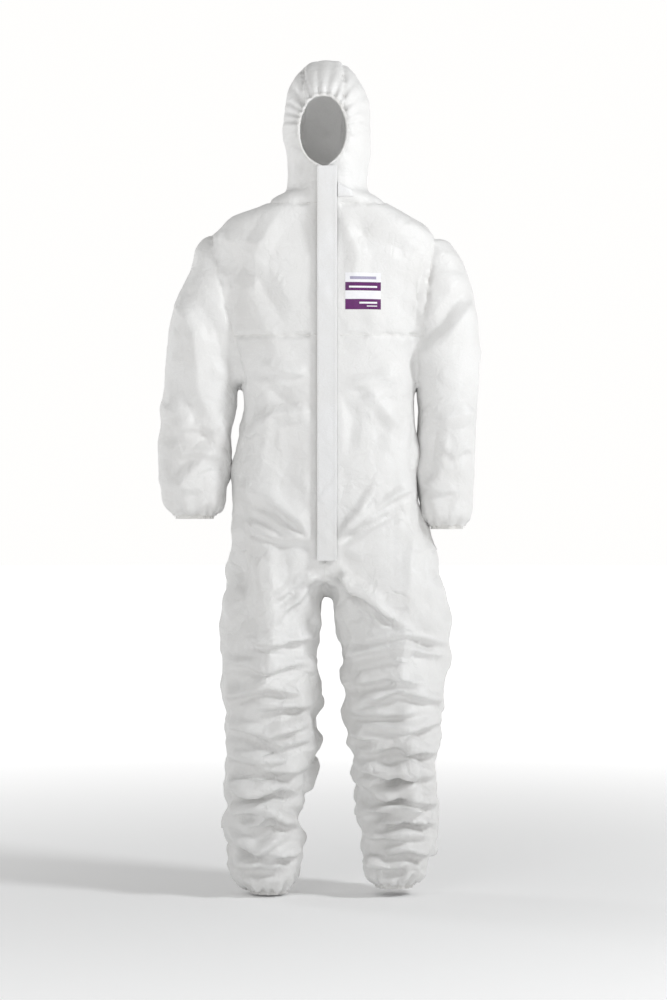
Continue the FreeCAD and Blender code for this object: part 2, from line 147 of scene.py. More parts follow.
# Broad folds as seen from the front: half width, height (down if below 0), and points (x, z) along each
BROAD_FOLDS = [
    # the right thigh's two long flat faces, and the left leg's outer edge
    (0.055, -0.010, ((-0.19, -0.74), (-0.16, -0.93), (-0.15, -0.98))),
    (0.048, 0.012, ((-0.12, -0.72), (-0.11, -0.92), (-0.14, -1.10))),
    (0.034, 0.010, ((0.17, -0.90), (0.16, -1.03))),
    (0.036, 0.012, ((0.17, -1.10), (0.19, -1.33))),
    # belly
    (0.046, -0.009, ((-0.19, -0.64), (-0.18, -0.86))),
    (0.034, 0.012, ((-0.20, -0.61), (-0.12, -0.63), (-0.02, -0.70))),
    (0.034, 0.012, ((-0.15, -0.49), (-0.11, -0.46), (-0.02, -0.45))),
    (0.030, -0.010, ((-0.11, -0.40), (-0.02, -0.45))),
    (0.044, 0.007, ((0.18, -0.56), (0.18, -0.86))),
    (0.028, -0.008, ((0.03, -0.41), (0.06, -0.47), (0.05, -0.54))),
    (0.030, 0.008, ((0.08, -0.39), (0.12, -0.44), (0.17, -0.50))),
    # chest, drawn from the shoulders towards the zip
    (0.036, 0.009, ((-0.23, -0.08), (-0.10, -0.10))),
    (0.044, -0.011, ((-0.21, -0.12), (-0.14, -0.17), (-0.09, -0.26))),
    (0.040, 0.010, ((-0.10, -0.03), (-0.15, -0.12), (-0.15, -0.21))),
    (0.036, -0.010, ((0.06, -0.05), (0.09, -0.08), (0.19, -0.11))),
    (0.040, 0.009, ((0.03, -0.02), (0.07, -0.12), (0.06, -0.17))),
    # right sleeve, which breaks at the elbow
    (0.040, -0.012, ((-0.28, -0.21), (-0.23, -0.28), (-0.21, -0.36))),
    (0.036, 0.012, ((-0.33, -0.21), (-0.28, -0.28), (-0.27, -0.40))),
    (0.044, -0.012, ((-0.32, -0.37), (-0.28, -0.47), (-0.24, -0.53))),
    (0.040, 0.012, ((-0.35, -0.44), (-0.28, -0.47))),
    (0.034, 0.010, ((-0.32, -0.62), (-0.24, -0.53))),
    # left sleeve, smoother
    (0.044, 0.013, ((0.19, -0.34), (0.25, -0.31), (0.32, -0.21))),
    (0.034, -0.014, ((0.19, -0.31), (0.25, -0.26), (0.31, -0.18))),
    (0.036, 0.010, ((0.23, -0.05), (0.20, -0.14), (0.19, -0.26))),
    (0.034, -0.010, ((0.24, -0.47), (0.22, -0.61))),
    (0.036, 0.011, ((0.24, -0.47), (0.32, -0.45))),
]
# Folds spreading from one place: x, z, first and last direction in degrees, how many, length, half width
# and height
FANS = [
    (0.01, -0.78, -32, -50, 4, 0.19, 0.022, 0.011),         # from the fork over the left thigh
    (-0.01, -0.78, -140, -122, 3, 0.14, 0.024, 0.008),      # and over the right
    (0.02, -0.73, 30, 52, 4, 0.19, 0.022, 0.010),           # from the end of the zip over the belly
    (-0.02, -0.73, 138, 165, 3, 0.15, 0.024, 0.011),
    (-0.14, -0.35, -45, -15, 2, 0.14, 0.032, 0.009),        # from under the arms
    (0.17, -0.36, -160, -135, 2, 0.14, 0.032, 0.008),
]
VALLEY = 0.013                      # how far under its ridge each fold of a fan or stack dips
# Cross folds stacked up a limb: the limb, lowest and highest z, how many, half width, height
STACKS = [
    (RIGHT_LEG, -1.44, -1.20, 8, 0.026, 0.012), (RIGHT_LEG, -1.20, -1.04, 5, 0.027, 0.010),
    (RIGHT_LEG, -1.00, -0.92, 2, 0.022, 0.008),
    (LEFT_LEG, -1.43, -1.22, 8, 0.026, 0.012), (LEFT_LEG, -1.22, -1.02, 7, 0.026, 0.012),
    (LEFT_LEG, -1.00, -0.92, 2, 0.022, 0.007),
    (RIGHT_SLEEVE, -0.62, -0.48, 3, 0.030, 0.007), (LEFT_SLEEVE, -0.64, -0.50, 2, 0.028, 0.006),
]
# The storm flap's folds: half width, height against FLAP_WAVE, and points (x, z) along each
FLAP_FOLDS = [
    (0.020, 1.0, ((-0.017, -0.180), (0.020, -0.230))), (0.024, -1.0, ((-0.017, -0.360), (0.014, -0.440))),
    (0.020, 1.0, ((0.004, -0.480), (0.020, -0.560))), (0.018, 1.2, ((-0.017, -0.640), (0.018, -0.620))),
    (0.016, 1.2, ((-0.014, -0.700), (0.020, -0.735))), (0.022, 0.8, ((-0.012, -0.020), (0.010, -0.120))),
]
FLAP_WAVE = 0.0022
FLAP_FRONT, FLAP_BACK, FLAP_ROOT = -0.1262, -0.12455, -0.1190      # y of its two faces and of its sewn edge


# ------------------------------------------------------------------ the surface
def smoothstep(a, b, t):
    u = np.clip((t - a) / (b - a), 0, 1)
    return u * u * (3 - 2 * u)


def tube(stations, squareness, step=0.008, count=72):
    """Points and faces of a closed tube through the stations."""
    s = np.array(sorted(stations))
    z = np.arange(s[0, 0], s[-1, 0] + step / 2, step)
    cols = [np.interp(z, s[:, 0], s[:, k]) for k in range(1, 5)]
    kernel = np.hanning(9)[1:-1]
    kernel /= kernel.sum()
    cols = [np.convolve(np.pad(c, 3, mode="edge"), kernel, mode="valid") for c in cols]
    angle = np.linspace(0, 2 * math.pi, count, endpoint=False)
    c, n = np.cos(angle), np.sin(angle)
    cx = np.sign(c) * np.abs(c) ** (2 / squareness)
    ny = np.sign(n) * np.abs(n) ** (2 / squareness)
    verts, faces = [], []
    for i, zi in enumerate(z):
        x0, x1, y0, y1 = (k[i] for k in cols)
        middle, half = ((x0 + x1) / 2, (y0 + y1) / 2), ((x1 - x0) / 2, (y1 - y0) / 2)
        verts += [(middle[0] + half[0] * a, middle[1] + half[1] * b, zi) for a, b in zip(cx, ny)]
    for i in range(len(z) - 1):
        for j in range(count):
            k = (j + 1) % count
            faces.append((i * count + j, i * count + k, (i + 1) * count + k, (i + 1) * count + j))
    faces.append(tuple(reversed(range(count))))
    faces.append(tuple(range((len(z) - 1) * count, len(z) * count)))
    return verts, faces


def sleeve_shift(z):
    """How far out the sleeve is held at height z."""
    return SPREAD * smoothstep(-0.36, -0.46, z)


def new_mesh(name, verts, faces):
    me = DATA.meshes.new(name)
    me.from_pydata([tuple(v) for v in verts], [], [tuple(f) for f in faces])
    me.update()
    ob = DATA.objects.new(name, me)
    bpy.context.collection.objects.link(ob)
    return ob


def coords(me):
    co = np.empty(len(me.vertices) * 3)
    me.vertices.foreach_get("co", co)
    return co.reshape(-1, 3)


def set_coords(me, co):
    me.vertices.foreach_set("co", np.ascontiguousarray(co, dtype=np.float32).ravel())
    me.update()


def baked(ob):
    """The object's mesh with its modifiers applied, and none left."""
    me = DATA.meshes.new_from_object(ob.evaluated_get(bpy.context.evaluated_depsgraph_get()))
    ob.modifiers.clear()
    old = ob.data
    ob.data = me
    DATA.meshes.remove(old)
    return ob


def neighbours(me):
    e = np.empty(len(me.edges) * 2, dtype=np.int64)
    me.edges.foreach_get("vertices", e)
    return e.reshape(-1, 2)


def relax(co, edges, weight, rounds):
    """Moves each point towards the middle of its neighbours, by weight."""
    count = np.zeros(len(co))
    np.add.at(count, edges.ravel(), 1)
    count = np.maximum(count, 1)[:, None]
    for _ in range(rounds):
        total = np.zeros_like(co)
        for k in range(3):
            total[:, k] = np.bincount(edges[:, 0], co[edges[:, 1], k], len(co))
            total[:, k] += np.bincount(edges[:, 1], co[edges[:, 0], k], len(co))
        co = co + (total / count - co) * weight
    return co


def base_surface():
    """The whole suit as one open surface, before any fold."""
    verts, faces = [], []
    parts = (
        (TRUNK, 2.7, 0), (HOOD, 2.3, 0), (RIGHT_LEG, 2.3, 0), (LEFT_LEG, 2.3, 0),
        (RIGHT_SLEEVE, 2.2, -1), (LEFT_SLEEVE, 2.2, 1),
    )
    for stations, squareness, side in parts:
        v, f = tube(stations, squareness)
        if side:
            v = [(x + side * float(sleeve_shift(z)), y, z) for x, y, z in v]
        faces += [tuple(i + len(verts) for i in face) for face in f]
        verts += v
    ob = new_mesh("suit", verts, faces)
    mod = ob.modifiers.new("remesh", "REMESH")
    mod.mode, mod.voxel_size, mod.adaptivity = "VOXEL", VOXEL, 0
    baked(ob)
    co = coords(ob.data)
    edges = neighbours(ob.data)
    # the voxels' steps are smoothed away everywhere, and the joins of the tubes more
    x, y, z = co.T
    neck = 0.7 * np.exp(-((z - 0.006) / 0.010) ** 2) * (np.abs(x) < 0.16)
    fork = np.exp(-((z + 0.815) / 0.04) ** 2)
    shoulders = 0.5 * np.exp(-((np.abs(x) - 0.24) / 0.05) ** 2) * (z > -0.2)
    co = relax(co, edges, 0.5, 4)
    co = relax(co, edges, (0.5 * np.clip(neck + fork + shoulders, 0, 1))[:, None], 12)
    set_coords(ob.data, co)
    return ob


ARMHOLES = {"right": ((-0.254, -0.040), (-0.174, -0.385)), "left": ((0.243, -0.046), (0.196, -0.345))}
# Below each armhole, the middle of the gap between sleeve and body, with the sleeves held out: z, then x
GAPS = {
    "right": ((-0.74, -0.232), (-0.66, -0.226), (-0.52, -0.213), (-0.45, -0.200), (-0.395, -0.190)),
    "left": ((-0.74, 0.240), (-0.66, 0.230), (-0.60, 0.222), (-0.45, 0.212), (-0.395, 0.201)),
}
HOOD_SEAMS = {"right": ((-0.046, 0.300), (-0.056, 0.0)), "left": ((0.040, 0.300), (0.046, 0.0))}
SLOT = 0.0075                                   # half the gap between the front edges
SLOT_END = -0.769
ACROSS, BACKWARD, UPWARD = (1, 0, 0), (0, 1, 0), (0, 0, 1)
BAND = 0.03                                     # a seam is cut through the faces this near to it
SNAP, MERGE = 0.0009, 0.0012                    # points this near to a cut, or to each other, become one


def near_arm(co, side):
    """Whether each point is on that side's sleeve."""
    (x0, z0), (x1, z1) = ARMHOLES[side]
    edge = np.array([*GAPS[side], (z1, x1), (z0, x0)])
    limit = np.interp(co[:, 2], edge[:, 0], edge[:, 1])
    beyond = co[:, 0] < limit if side == "right" else co[:, 0] > limit
    return beyond & (co[:, 2] < 0.0) & (co[:, 2] > WRISTS[side] - 0.045)


def chosen(bm, keep):
    """The faces whose middles pass keep."""
    return [f for f in bm.faces if keep(f.calc_center_median())]


def cut(bm, point, normal, keep):
    """Adds the edges where the plane crosses the chosen faces."""
    faces = chosen(bm, keep)
    edges = {e for f in faces for e in f.edges}
    verts = {v for f in faces for v in f.verts}
    bmesh.ops.bisect_plane(bm, geom=[*faces, *edges, *verts], plane_co=point, plane_no=normal, dist=SNAP)


def on_arm(c, side):
    return bool(near_arm(np.array([c[:]]), side)[0])


def on_sleeve(c):
    return on_arm(c, "right") or on_arm(c, "left")


def past_hem(c):
    """Whether a place is beyond the wrist or ankle line of its side."""
    side = "right" if c.x < 0 else "left"
    return c.z < ANKLES[side] or (abs(c.x) > 0.2 and c.z < WRISTS[side] and on_arm(c, side))


def in_opening(c):
    """Whether a place is in the gap under the zip or in the face opening."""
    if abs(c.x) < SLOT and c.y < -0.06 and SLOT_END < c.z < 0.075:
        return True
    across, up = (c.x - FACE_CENTRE[0]) / FACE_HALF[0], (c.z - FACE_CENTRE[1]) / FACE_HALF[1]
    return c.y < -0.03 and across ** 2 + up ** 2 < 1


def seam_plane(line):
    """A point on the plane that holds a seam drawn from the front, and the plane's normal."""
    (x0, z0), (x1, z1) = line
    return (x0, 0, z0), Vector((z0 - z1, 0, x1 - x0)).normalized()


def cut_panels(ob):
    """Trims the openings, and cuts the surface along its seams."""
    bm = bmesh.new()
    bm.from_mesh(ob.data)
    for side, sign in (("right", -1), ("left", 1)):
        wrist, ankle = WRISTS[side], ANKLES[side]
        cut(bm, (0, 0, wrist), UPWARD, lambda c: c.x * sign > 0.2 and abs(c.z - wrist) < BAND)
        cut(bm, (0, 0, ankle), UPWARD, lambda c: c.x * sign > 0.02 and abs(c.z - ankle) < BAND)
        (_, top), (_, low) = ARMHOLES[side]
        cut(bm, *seam_plane(ARMHOLES[side]), lambda c: low - 0.02 < c.z < top + 0.04 and c.x * sign > 0.12)
    bmesh.ops.delete(bm, geom=chosen(bm, past_hem), context="FACES")
    for level, on_side in ((CHEST_SEAM, lambda c: c.y < 0.02), (WAIST, lambda c: c.y > -0.02)):
        near = lambda c: on_side(c) and abs(c.z - level) < BAND and not on_sleeve(c)
        cut(bm, (0, 0, level), UPWARD, near)
    cut(bm, (0, SIDE_SEAM, 0), BACKWARD, lambda c: c.z < 0.03 and abs(c.y) < BAND and not on_sleeve(c))
    cut(bm, (0, 0, 0), ACROSS, lambda c: c.z < WAIST + 0.02 and abs(c.x) < BAND)
    for x in (-SLOT, SLOT):
        cut(bm, (x, 0, 0), ACROSS, lambda c: c.y < -0.06 and -0.8 < c.z < 0.09 and abs(c.x) < BAND)
    slot_end = lambda c: c.y < -0.06 and abs(c.x) < 0.02 and abs(c.z - SLOT_END) < 0.02
    cut(bm, (0, 0, SLOT_END), UPWARD, slot_end)
    cut(bm, (0, FRONT, NECK_SEAM), (0, NECK_TILT, -1), lambda c: abs(c.z) < 0.05 and abs(c.x) < 0.2)
    for line in HOOD_SEAMS.values():
        cut(bm, *seam_plane(line), lambda c: c.z > 0.0 and abs(c.x) < 0.08 and not (c.y < 0 and c.z < 0.13))
    bmesh.ops.delete(bm, geom=chosen(bm, in_opening), context="FACES")
    bmesh.ops.remove_doubles(bm, verts=bm.verts, dist=MERGE)
    loose = [v for v in bm.verts if not v.link_faces]
    bmesh.ops.delete(bm, geom=loose, context="VERTS")
    bm.to_mesh(ob.data)
    bm.free()
    # the ragged rim of the face opening is drawn onto its oval
    co = coords(ob.data)
    rim = np.zeros(len(co), bool)
    uses = Counter(key for p in ob.data.polygons for key in p.edge_keys)
    for (a, b), count in uses.items():
        if count == 1:
            rim[a] = rim[b] = True
    d = (co[:, [0, 2]] - FACE_CENTRE) / FACE_HALF
    r = np.linalg.norm(d, axis=1)
    on = rim & (co[:, 1] < -0.03) & (co[:, 2] > 0.05) & (r < 1.5) & (r > 0.6)
    co[on, 0] = FACE_CENTRE[0] + d[on, 0] / r[on] * FACE_HALF[0]
    co[on, 2] = FACE_CENTRE[1] + d[on, 1] / r[on] * FACE_HALF[1]
    near = np.exp(-((r - 1) / 0.25) ** 2) * (co[:, 1] < -0.03) * (co[:, 2] > 0.05) * ~on
    co = relax(co, neighbours(ob.data), (0.5 * near)[:, None], 6)
    set_coords(ob.data, co)
    return ob


def sleeves(co):
    return near_arm(co, "right"), near_arm(co, "left")


def oval(co):
    """How far each point is from the face opening's middle, 1 at its rim, and the direction round it."""
    d = (co[:, [0, 2]] - FACE_CENTRE) / FACE_HALF
    r = np.linalg.norm(d, axis=1)
    around = np.stack((-d[:, 1] * FACE_HALF[0], np.zeros(len(co)), d[:, 0] * FACE_HALF[1]), 1)
    size = np.maximum(np.linalg.norm(around, axis=1), 1e-6)
    return r, around / size[:, None], (co[:, 1] < -0.02) & (co[:, 2] > 0.03)


def ease(co, right, left):
    """How much more cloth there is than space, along x, y and z, and round the face opening."""
    x, _, z = co.T
    body = ~(right | left)
    share = np.ones((len(co), 3))
    levels = (-1.50, -1.36, -1.18, -1.02, -0.82, -0.60, -0.30, 0.0)
    body_share = np.interp(z, levels, (0.10, 0.09, 0.08, 0.05, 0.04, 0.03, 0.02, 0.01))
    share[:, 2] += body_share * body
    arm_share = np.interp(z, (-0.70, -0.60, -0.45, -0.30, -0.10), (0.07, 0.05, 0.04, 0.03, 0.02))
    share[:, 2] += arm_share * ~body
    for side, is_arm in (("right", right), ("left", left)):
        width = 0.03 + 0.55 * np.exp(-np.maximum(z - WRISTS[side], 0) / 0.022)
        share[:, :2] += (width * is_arm)[:, None]
        leg = body & (z < CROTCH) & ((x < 0) == (side == "right"))
        width = 0.04 + 0.60 * np.exp(-np.maximum(z - ANKLES[side], 0) / 0.030)
        share[:, :2] += (width * leg)[:, None]
    gather = 0.10 * np.exp(-((z - WAIST) / 0.05) ** 2) * smoothstep(0.06, 0.14, np.abs(x))
    share[:, :2] += ((0.02 + gather) * (body & (z >= CROTCH)))[:, None]
    r, around, front = oval(co)
    rim = 0.40 * np.exp(-np.maximum(r - 1, 0) / 0.20) * front
    return share, around * np.sqrt(rim)[:, None]


def cut_length(co, pairs, share, around):
    """The distance that the cloth was cut to, for each pair of points."""
    i, j = pairs.T
    d = co[j] - co[i]
    t = (around[i] + around[j]) / 2
    along = d * (share[i] + share[j]) / 2 + t * np.sum(d * t, axis=1)[:, None]
    return np.linalg.norm(along, axis=1)


def hold(co, right, left):
    """How firmly each point is held to its place: 1 is fixed."""
    x, y, z = co.T
    w = np.full(len(co), 0.30)
    w[z > 0.0] = 0.38
    arm = right | left
    zip_line = (y < -0.05) & ~arm & (z > -0.80) & (z < 0.085)
    w = np.maximum(w, 0.95 * zip_line * smoothstep(0.075, 0.022, np.abs(x)))
    w[zip_line & (np.abs(x) < 0.026)] = 1.0
    for side, is_arm in (("right", right), ("left", left)):
        w[is_arm & (z < WRISTS[side] + 0.006)] = 1.0
        w[~arm & (z < ANKLES[side] + 0.006) & ((x < 0) == (side == "right"))] = 1.0
    d = np.linalg.norm((co[:, [0, 2]] - FACE_CENTRE) / FACE_HALF, axis=1)
    w[(d < 1.03) & (y < -0.03) & (z > 0.05)] = 1.0
    neck = np.exp(-(z / 0.014) ** 2) * (np.abs(x) < 0.14)
    w = np.maximum(w, 0.7 * neck)
    return w


def normals(ob):
    n = np.empty(len(ob.data.vertices) * 3)
    ob.data.vertices.foreach_get("normal", n)
    return n.reshape(-1, 3)


def links(me):
    """Pairs of points joined by an edge, and pairs across each quad's diagonals."""
    corners = [p.vertices[:] for p in me.polygons if len(p.vertices) == 4]
    q = np.array(corners, dtype=np.int64)
    return neighbours(me), np.concatenate((q[:, [0, 2]], q[:, [1, 3]]))


class Averager:
    """Adds up what a list of pairs gives each of its points."""

    def __init__(self, pairs, count):
        self.pairs, self.count = pairs, count
        self.degree = np.maximum(np.bincount(pairs.ravel(), minlength=count), 1)[:, None].astype(float)

    def mean(self, x):
        """The middle of each point's neighbours."""
        i, j = self.pairs.T
        total = np.empty_like(x)
        for k in range(x.shape[1]):
            total[:, k] = np.bincount(i, x[j, k], self.count) + np.bincount(j, x[i, k], self.count)
        return total / self.degree

    def spread(self, push):
        """Each pair's push moves its first point, and the opposite its second."""
        i, j = self.pairs.T
        total = np.empty((self.count, 3))
        for k in range(3):
            total[:, k] = np.bincount(i, push[:, k], self.count) - np.bincount(j, push[:, k], self.count)
        return total / self.degree


def settle(co, me, share, around, held, seeds, rounds=90, bend=0.12, pull=0.0030):
    """Folds the cloth: pairs of points keep the distance they were cut to, and held draws them back to co."""
    edges, diagonals = links(me)
    pairs = np.concatenate((edges, diagonals))
    target = cut_length(co, pairs, share, around)
    every, near = Averager(pairs, len(co)), Averager(edges, len(co))
    flat = near.mean(co) - co
    free = (1 - smoothstep(0.9, 1.0, held))[:, None]
    grip = (pull * (held / 0.3) ** 2)[:, None]
    x, last = co + seeds * free, co + seeds * free
    for _ in range(rounds):
        drift = x + 0.85 * (x - last)
        last = x
        x = co + (drift - co) * free
        for _ in range(2):
            d = x[pairs[:, 1]] - x[pairs[:, 0]]
            size = np.maximum(np.linalg.norm(d, axis=1), 1e-6)
            push = d * ((size - target) / size * 0.5)[:, None]
            x = x + every.spread(push) * 1.7 * free
        rough = near.mean(x) - x - flat
        smooth = near.mean(rough)
        x = x + (rough - 0.85 * smooth) * bend * free
        x = x + (co - x) * grip * free
    return x


def crease_field(co, lines, along_y):
    """The height at each point of sharp-topped folds along lines of (half width, height, points)."""
    total = np.zeros(len(co))
    for width, height, points in lines:
        p = np.array(points)
        best = np.zeros(len(co))
        q = co[:, [0, 2]] if along_y else co
        lengths = np.linalg.norm(np.diff(p, axis=0), axis=1)
        start, whole = 0.0, lengths.sum()
        for a, b, size in zip(p[:-1], p[1:], lengths):
            t = np.clip((q - a) @ (b - a) / max(size * size, 1e-9), 0, 1)
            d = np.linalg.norm(q - (a + t[:, None] * (b - a)), axis=1)
            s = (start + t * size) / whole
            fade = np.minimum(1, 4 * np.minimum(s + 0.06, 1.06 - s))
            best = np.maximum(best, np.clip(1 - d / width, 0, 1) * fade)
            start += size
        total += height * best
    return total


def ridge_and_valley(width, height, points):
    """A fold, and the dip that its cloth makes just under it."""
    points = np.array(points)
    return [(width, height, points), (width * 0.8, -0.8 * height, points - (0, VALLEY))]


def fan(x, z, first, last, count, length, width, height, rng):
    """Folds that spread from one place, each a little bent."""
    lines = []
    for angle in np.radians(np.linspace(first, last, count) + rng.uniform(-3, 3, count)):
        far = length * rng.uniform(0.75, 1.1)
        near, bend = rng.uniform(0.00, 0.03), angle + rng.uniform(-0.15, 0.15)
        stops = ((near, angle), (far * 0.5, bend), (far, angle))
        points = [(x + r * math.cos(a), z + r * math.sin(a)) for r, a in stops]
        lines += ridge_and_valley(width, height * rng.uniform(0.8, 1.2), points)
    return lines


def stacked(limb, low, high, count, width, height, rng):
    """Cross folds up a limb: each runs in from one side, breaks once, and dies out before the other side."""
    table = np.array(limb)
    lines = []
    for k in range(count):
        z = low + (high - low) * (k + rng.uniform(0.2, 0.8)) / count
        sides = [np.interp(z, table[:, 0], table[:, n]) for n in (1, 2)]
        near, far = sides[::-1] if k % 2 else sides
        reach, lean = rng.uniform(0.6, 0.95), rng.uniform(-0.030, 0.030)
        stops = ((0.05, 0), (0.55 * reach, lean), (reach, lean * rng.uniform(-0.6, 0.6)))
        points = [(near + (far - near) * share, z + drop) for share, drop in stops]
        lines += ridge_and_valley(width * rng.uniform(0.8, 1.2), height * rng.uniform(0.7, 1.2), points)
    return lines


def laid_folds(rng):
    """Every fold that shows from the front."""
    lines = [(width, height, np.array(points)) for width, height, points in BROAD_FOLDS]
    for row in FANS:
        lines += fan(*row, rng)
    for row in STACKS:
        lines += stacked(*row, rng)
    return lines


def loose_folds(co, n, rng):
    """Random folds on the sides and back, along the directions in which each part of the suit buckles."""
    lines = []
    kinds = [
        # height band, how many, half width, height, length, steepness
        ((-1.46, -1.15), 60, 0.030, 0.010, 0.10, 0.5), ((-1.15, -0.84), 46, 0.034, 0.009, 0.13, 0.6),
        ((-0.84, -0.56), 34, 0.038, 0.009, 0.16, 0.9), ((-0.56, -0.42), 26, 0.026, 0.007, 0.09, 1.6),
        ((-0.42, -0.05), 26, 0.046, 0.008, 0.18, 1.0), ((0.02, 0.30), 12, 0.030, 0.004, 0.09, 1.0),
    ]
    for (low, high), count, width, height, length, steep in kinds:
        band = (co[:, 2] > low) & (co[:, 2] < high)
        pool = np.flatnonzero(band & ~((n[:, 1] < -0.45) & (np.abs(co[:, 1]) > 0.03)))
        for k in rng.choice(pool, count):
            p, m = co[k], n[k]
            side = np.cross(m, (0, 0, 1.0))
            side /= max(np.linalg.norm(side), 1e-6)
            way = side * rng.choice((-1, 1)) + np.array((0, 0, 1.0)) * steep * rng.uniform(0.2, 1.4)
            way *= length * rng.uniform(0.6, 1.3) / np.linalg.norm(way)
            sign = 1 if rng.random() < 0.6 else -1
            w = width * rng.uniform(0.7, 1.3)
            lines.append((w, sign * height * rng.uniform(0.6, 1.4), (p, p + way)))
    return lines


def waves(co, scale, seed, stretch=(1, 1, 1)):
    """Smooth noise from -1 to 1 at the points."""
    off = Vector((seed * 7.3, seed * 3.1, seed * 5.7))
    return np.array([noise.noise(Vector(p) + off) for p in co * (np.array(stretch) / scale)])


def swell(co, scale, rng):
    """Slow waves, mostly between -1 and 1, of about that size."""
    total = np.zeros(len(co))
    for _ in range(5):
        way = rng.normal(size=3)
        way *= rng.uniform(0.6, 1.6) / np.linalg.norm(way) / scale
        total += np.sin(2 * math.pi * (co @ way + rng.random()))
    return total / 2.2


def crumple(co, seed, count, size):
    """Creases of crisp cloth: sharp-topped waves in random directions, each only in places."""
    rng = np.random.default_rng(seed)
    total = np.zeros(len(co))
    for _ in range(count):
        way = rng.normal(size=3) * (1, 0.6, 1)
        way /= np.linalg.norm(way)
        length = rng.uniform(0.060, 0.160)
        phase = co @ way / length + rng.random() + 0.22 * swell(co, 0.30, rng)
        crest = 2 * np.abs(2 * (phase % 1) - 1) - 1
        total += crest * smoothstep(0.0, 0.5, swell(co, 0.24, rng)) * length * size
    return total


# ------------------------------------------------------------------ panels
(
    HOOD_CENTRE, HOOD_RIGHT, HOOD_LEFT, YOKE_RIGHT, YOKE_LEFT, FRONT_RIGHT, FRONT_LEFT,
    BACK_UPPER, BACK_RIGHT, BACK_LEFT, SLEEVE_RIGHT, SLEEVE_LEFT,
) = range(12)


def hood_line(name, z):
    (x0, z0), (x1, z1) = HOOD_SEAMS[name]
    return np.interp(z, (z1, z0), (x1, x0))


def panel_of(c, arm_right, arm_left):
    """The number of the panel that holds each point."""
    x, y, z = c.T
    rear = y > SIDE_SEAM
    out = np.where(rear, BACK_UPPER, np.where(x < 0, YOKE_RIGHT, YOKE_LEFT))
    out = np.where(~rear & (z < CHEST_SEAM), np.where(x < 0, FRONT_RIGHT, FRONT_LEFT), out)
    out = np.where(rear & (z < WAIST), np.where(x < 0, BACK_RIGHT, BACK_LEFT), out)
    middle = (x > hood_line("right", z)) & (x < hood_line("left", z)) & ~((y < 0) & (z < 0.13))
    hood = z > NECK_SEAM + (y - FRONT) * NECK_TILT
    out = np.where(hood, np.where(middle, HOOD_CENTRE, np.where(x < 0, HOOD_RIGHT, HOOD_LEFT)), out)
    out[arm_right] = SLEEVE_RIGHT
    out[arm_left] = SLEEVE_LEFT
    return out


def mark_panels(ob, before):
    corners = [p.vertices[:] for p in ob.data.polygons]
    middles = np.array([before[list(c)].mean(axis=0) for c in corners])
    numbers = panel_of(middles, *sleeves(middles))
    ob.data.attributes.new("panel", "INT", "FACE").data.foreach_set("value", numbers.astype(np.int32))


def subdivided(ob, levels):
    mod = ob.modifiers.new("smooth", "SUBSURF")
    mod.levels = mod.render_levels = levels
    mod.boundary_smooth = "ALL"
    return baked(ob)


def gathers(co):
    """How far the gathers at the hems, waist and face opening stand proud."""
    x, y, z = co.T
    total = np.zeros(len(co))
    rings = (
        (WRISTS["right"], WRIST_X["right"], -0.010, (x < -0.18) & (z > -0.75), 13, 0.018, 0.0036),
        (WRISTS["left"], WRIST_X["left"], -0.012, (x > 0.18) & (z > -0.75), 13, 0.018, 0.0036),
        (ANKLES["right"], ANKLE_X["right"], -0.015, (x < 0) & (z < -1.3), 15, 0.026, 0.0040),
        (ANKLES["left"], ANKLE_X["left"], -0.017, (x > 0) & (z < -1.3), 15, 0.026, 0.0040),
    )
    for level, cx, cy, here, count, reach, size in rings:
        angle = np.arctan2(y - cy, x - cx)
        wobble = 1.5 * waves(np.stack((np.cos(angle), np.sin(angle), z * 4), 1), 0.8, 5)
        pleat = np.sin(angle * count + wobble)
        total += here * size * np.exp(-np.maximum(z - level, 0) / reach) * pleat
    r, _, here = oval(co)
    angle = np.arctan2(z - FACE_CENTRE[1], x - FACE_CENTRE[0])
    wobble = 1.8 * waves(np.stack((np.cos(angle), np.sin(angle), r * 0.25), 1), 0.7, 9)
    pleat = 2 * np.abs(np.sin(angle * 13 + wobble)) - 1
    reach = 0.30 + 0.30 * np.clip(np.sin(angle), 0, 1) + 0.10 * np.clip(-np.cos(angle), 0, 1)
    top = np.clip(np.sin(angle) + 0.75, 0.25, 1)
    total += here * 0.0042 * top * np.exp(-np.maximum(r - 1, 0) / reach) * pleat
    rear = smoothstep(0.02, 0.06, y) * (np.abs(x) < 0.205) * np.exp(-((z - WAIST) / 0.026) ** 2)
    total += rear * 0.0030 * (2 * np.abs(np.sin(x * 150 + 2.0 * waves(co, 0.06, 11, (1, 1, 0.3)))) - 1)
    return total


# ------------------------------------------------------------------ building pieces
class Build:
    """Collects points and faces, each run of faces with its material's number."""

    def __init__(self):
        self.verts, self.faces, self.kinds = [], [], []

    def add(self, verts, faces, kind=0):
        start = len(self.verts)
        self.verts += [tuple(map(float, v)) for v in verts]
        self.faces += [tuple(int(i) + start for i in f) for f in faces]
        self.kinds += [kind] * len(faces)
        return self

    def object(self, name, *materials):
        ob = new_mesh(name, self.verts, self.faces)
        for m in materials:
            ob.data.materials.append(m)
        ob.data.polygons.foreach_set("material_index", self.kinds)
        ob.data.polygons.foreach_set("use_smooth", [True] * len(self.faces))
        return ob


def grid_faces(rows, columns, closed=False):
    out = []
    for i in range(rows - 1):
        for j in range(columns if closed else columns - 1):
            k = (j + 1) % columns
            out.append((i * columns + j, i * columns + k, (i + 1) * columns + k, (i + 1) * columns + j))
    return out


def lofted(rows, closed=False):
    rows = np.asarray(rows, float)
    return rows.reshape(-1, 3), grid_faces(rows.shape[0], rows.shape[1], closed)


def unit(v):
    return v / np.maximum(np.linalg.norm(v, axis=-1, keepdims=True), 1e-9)


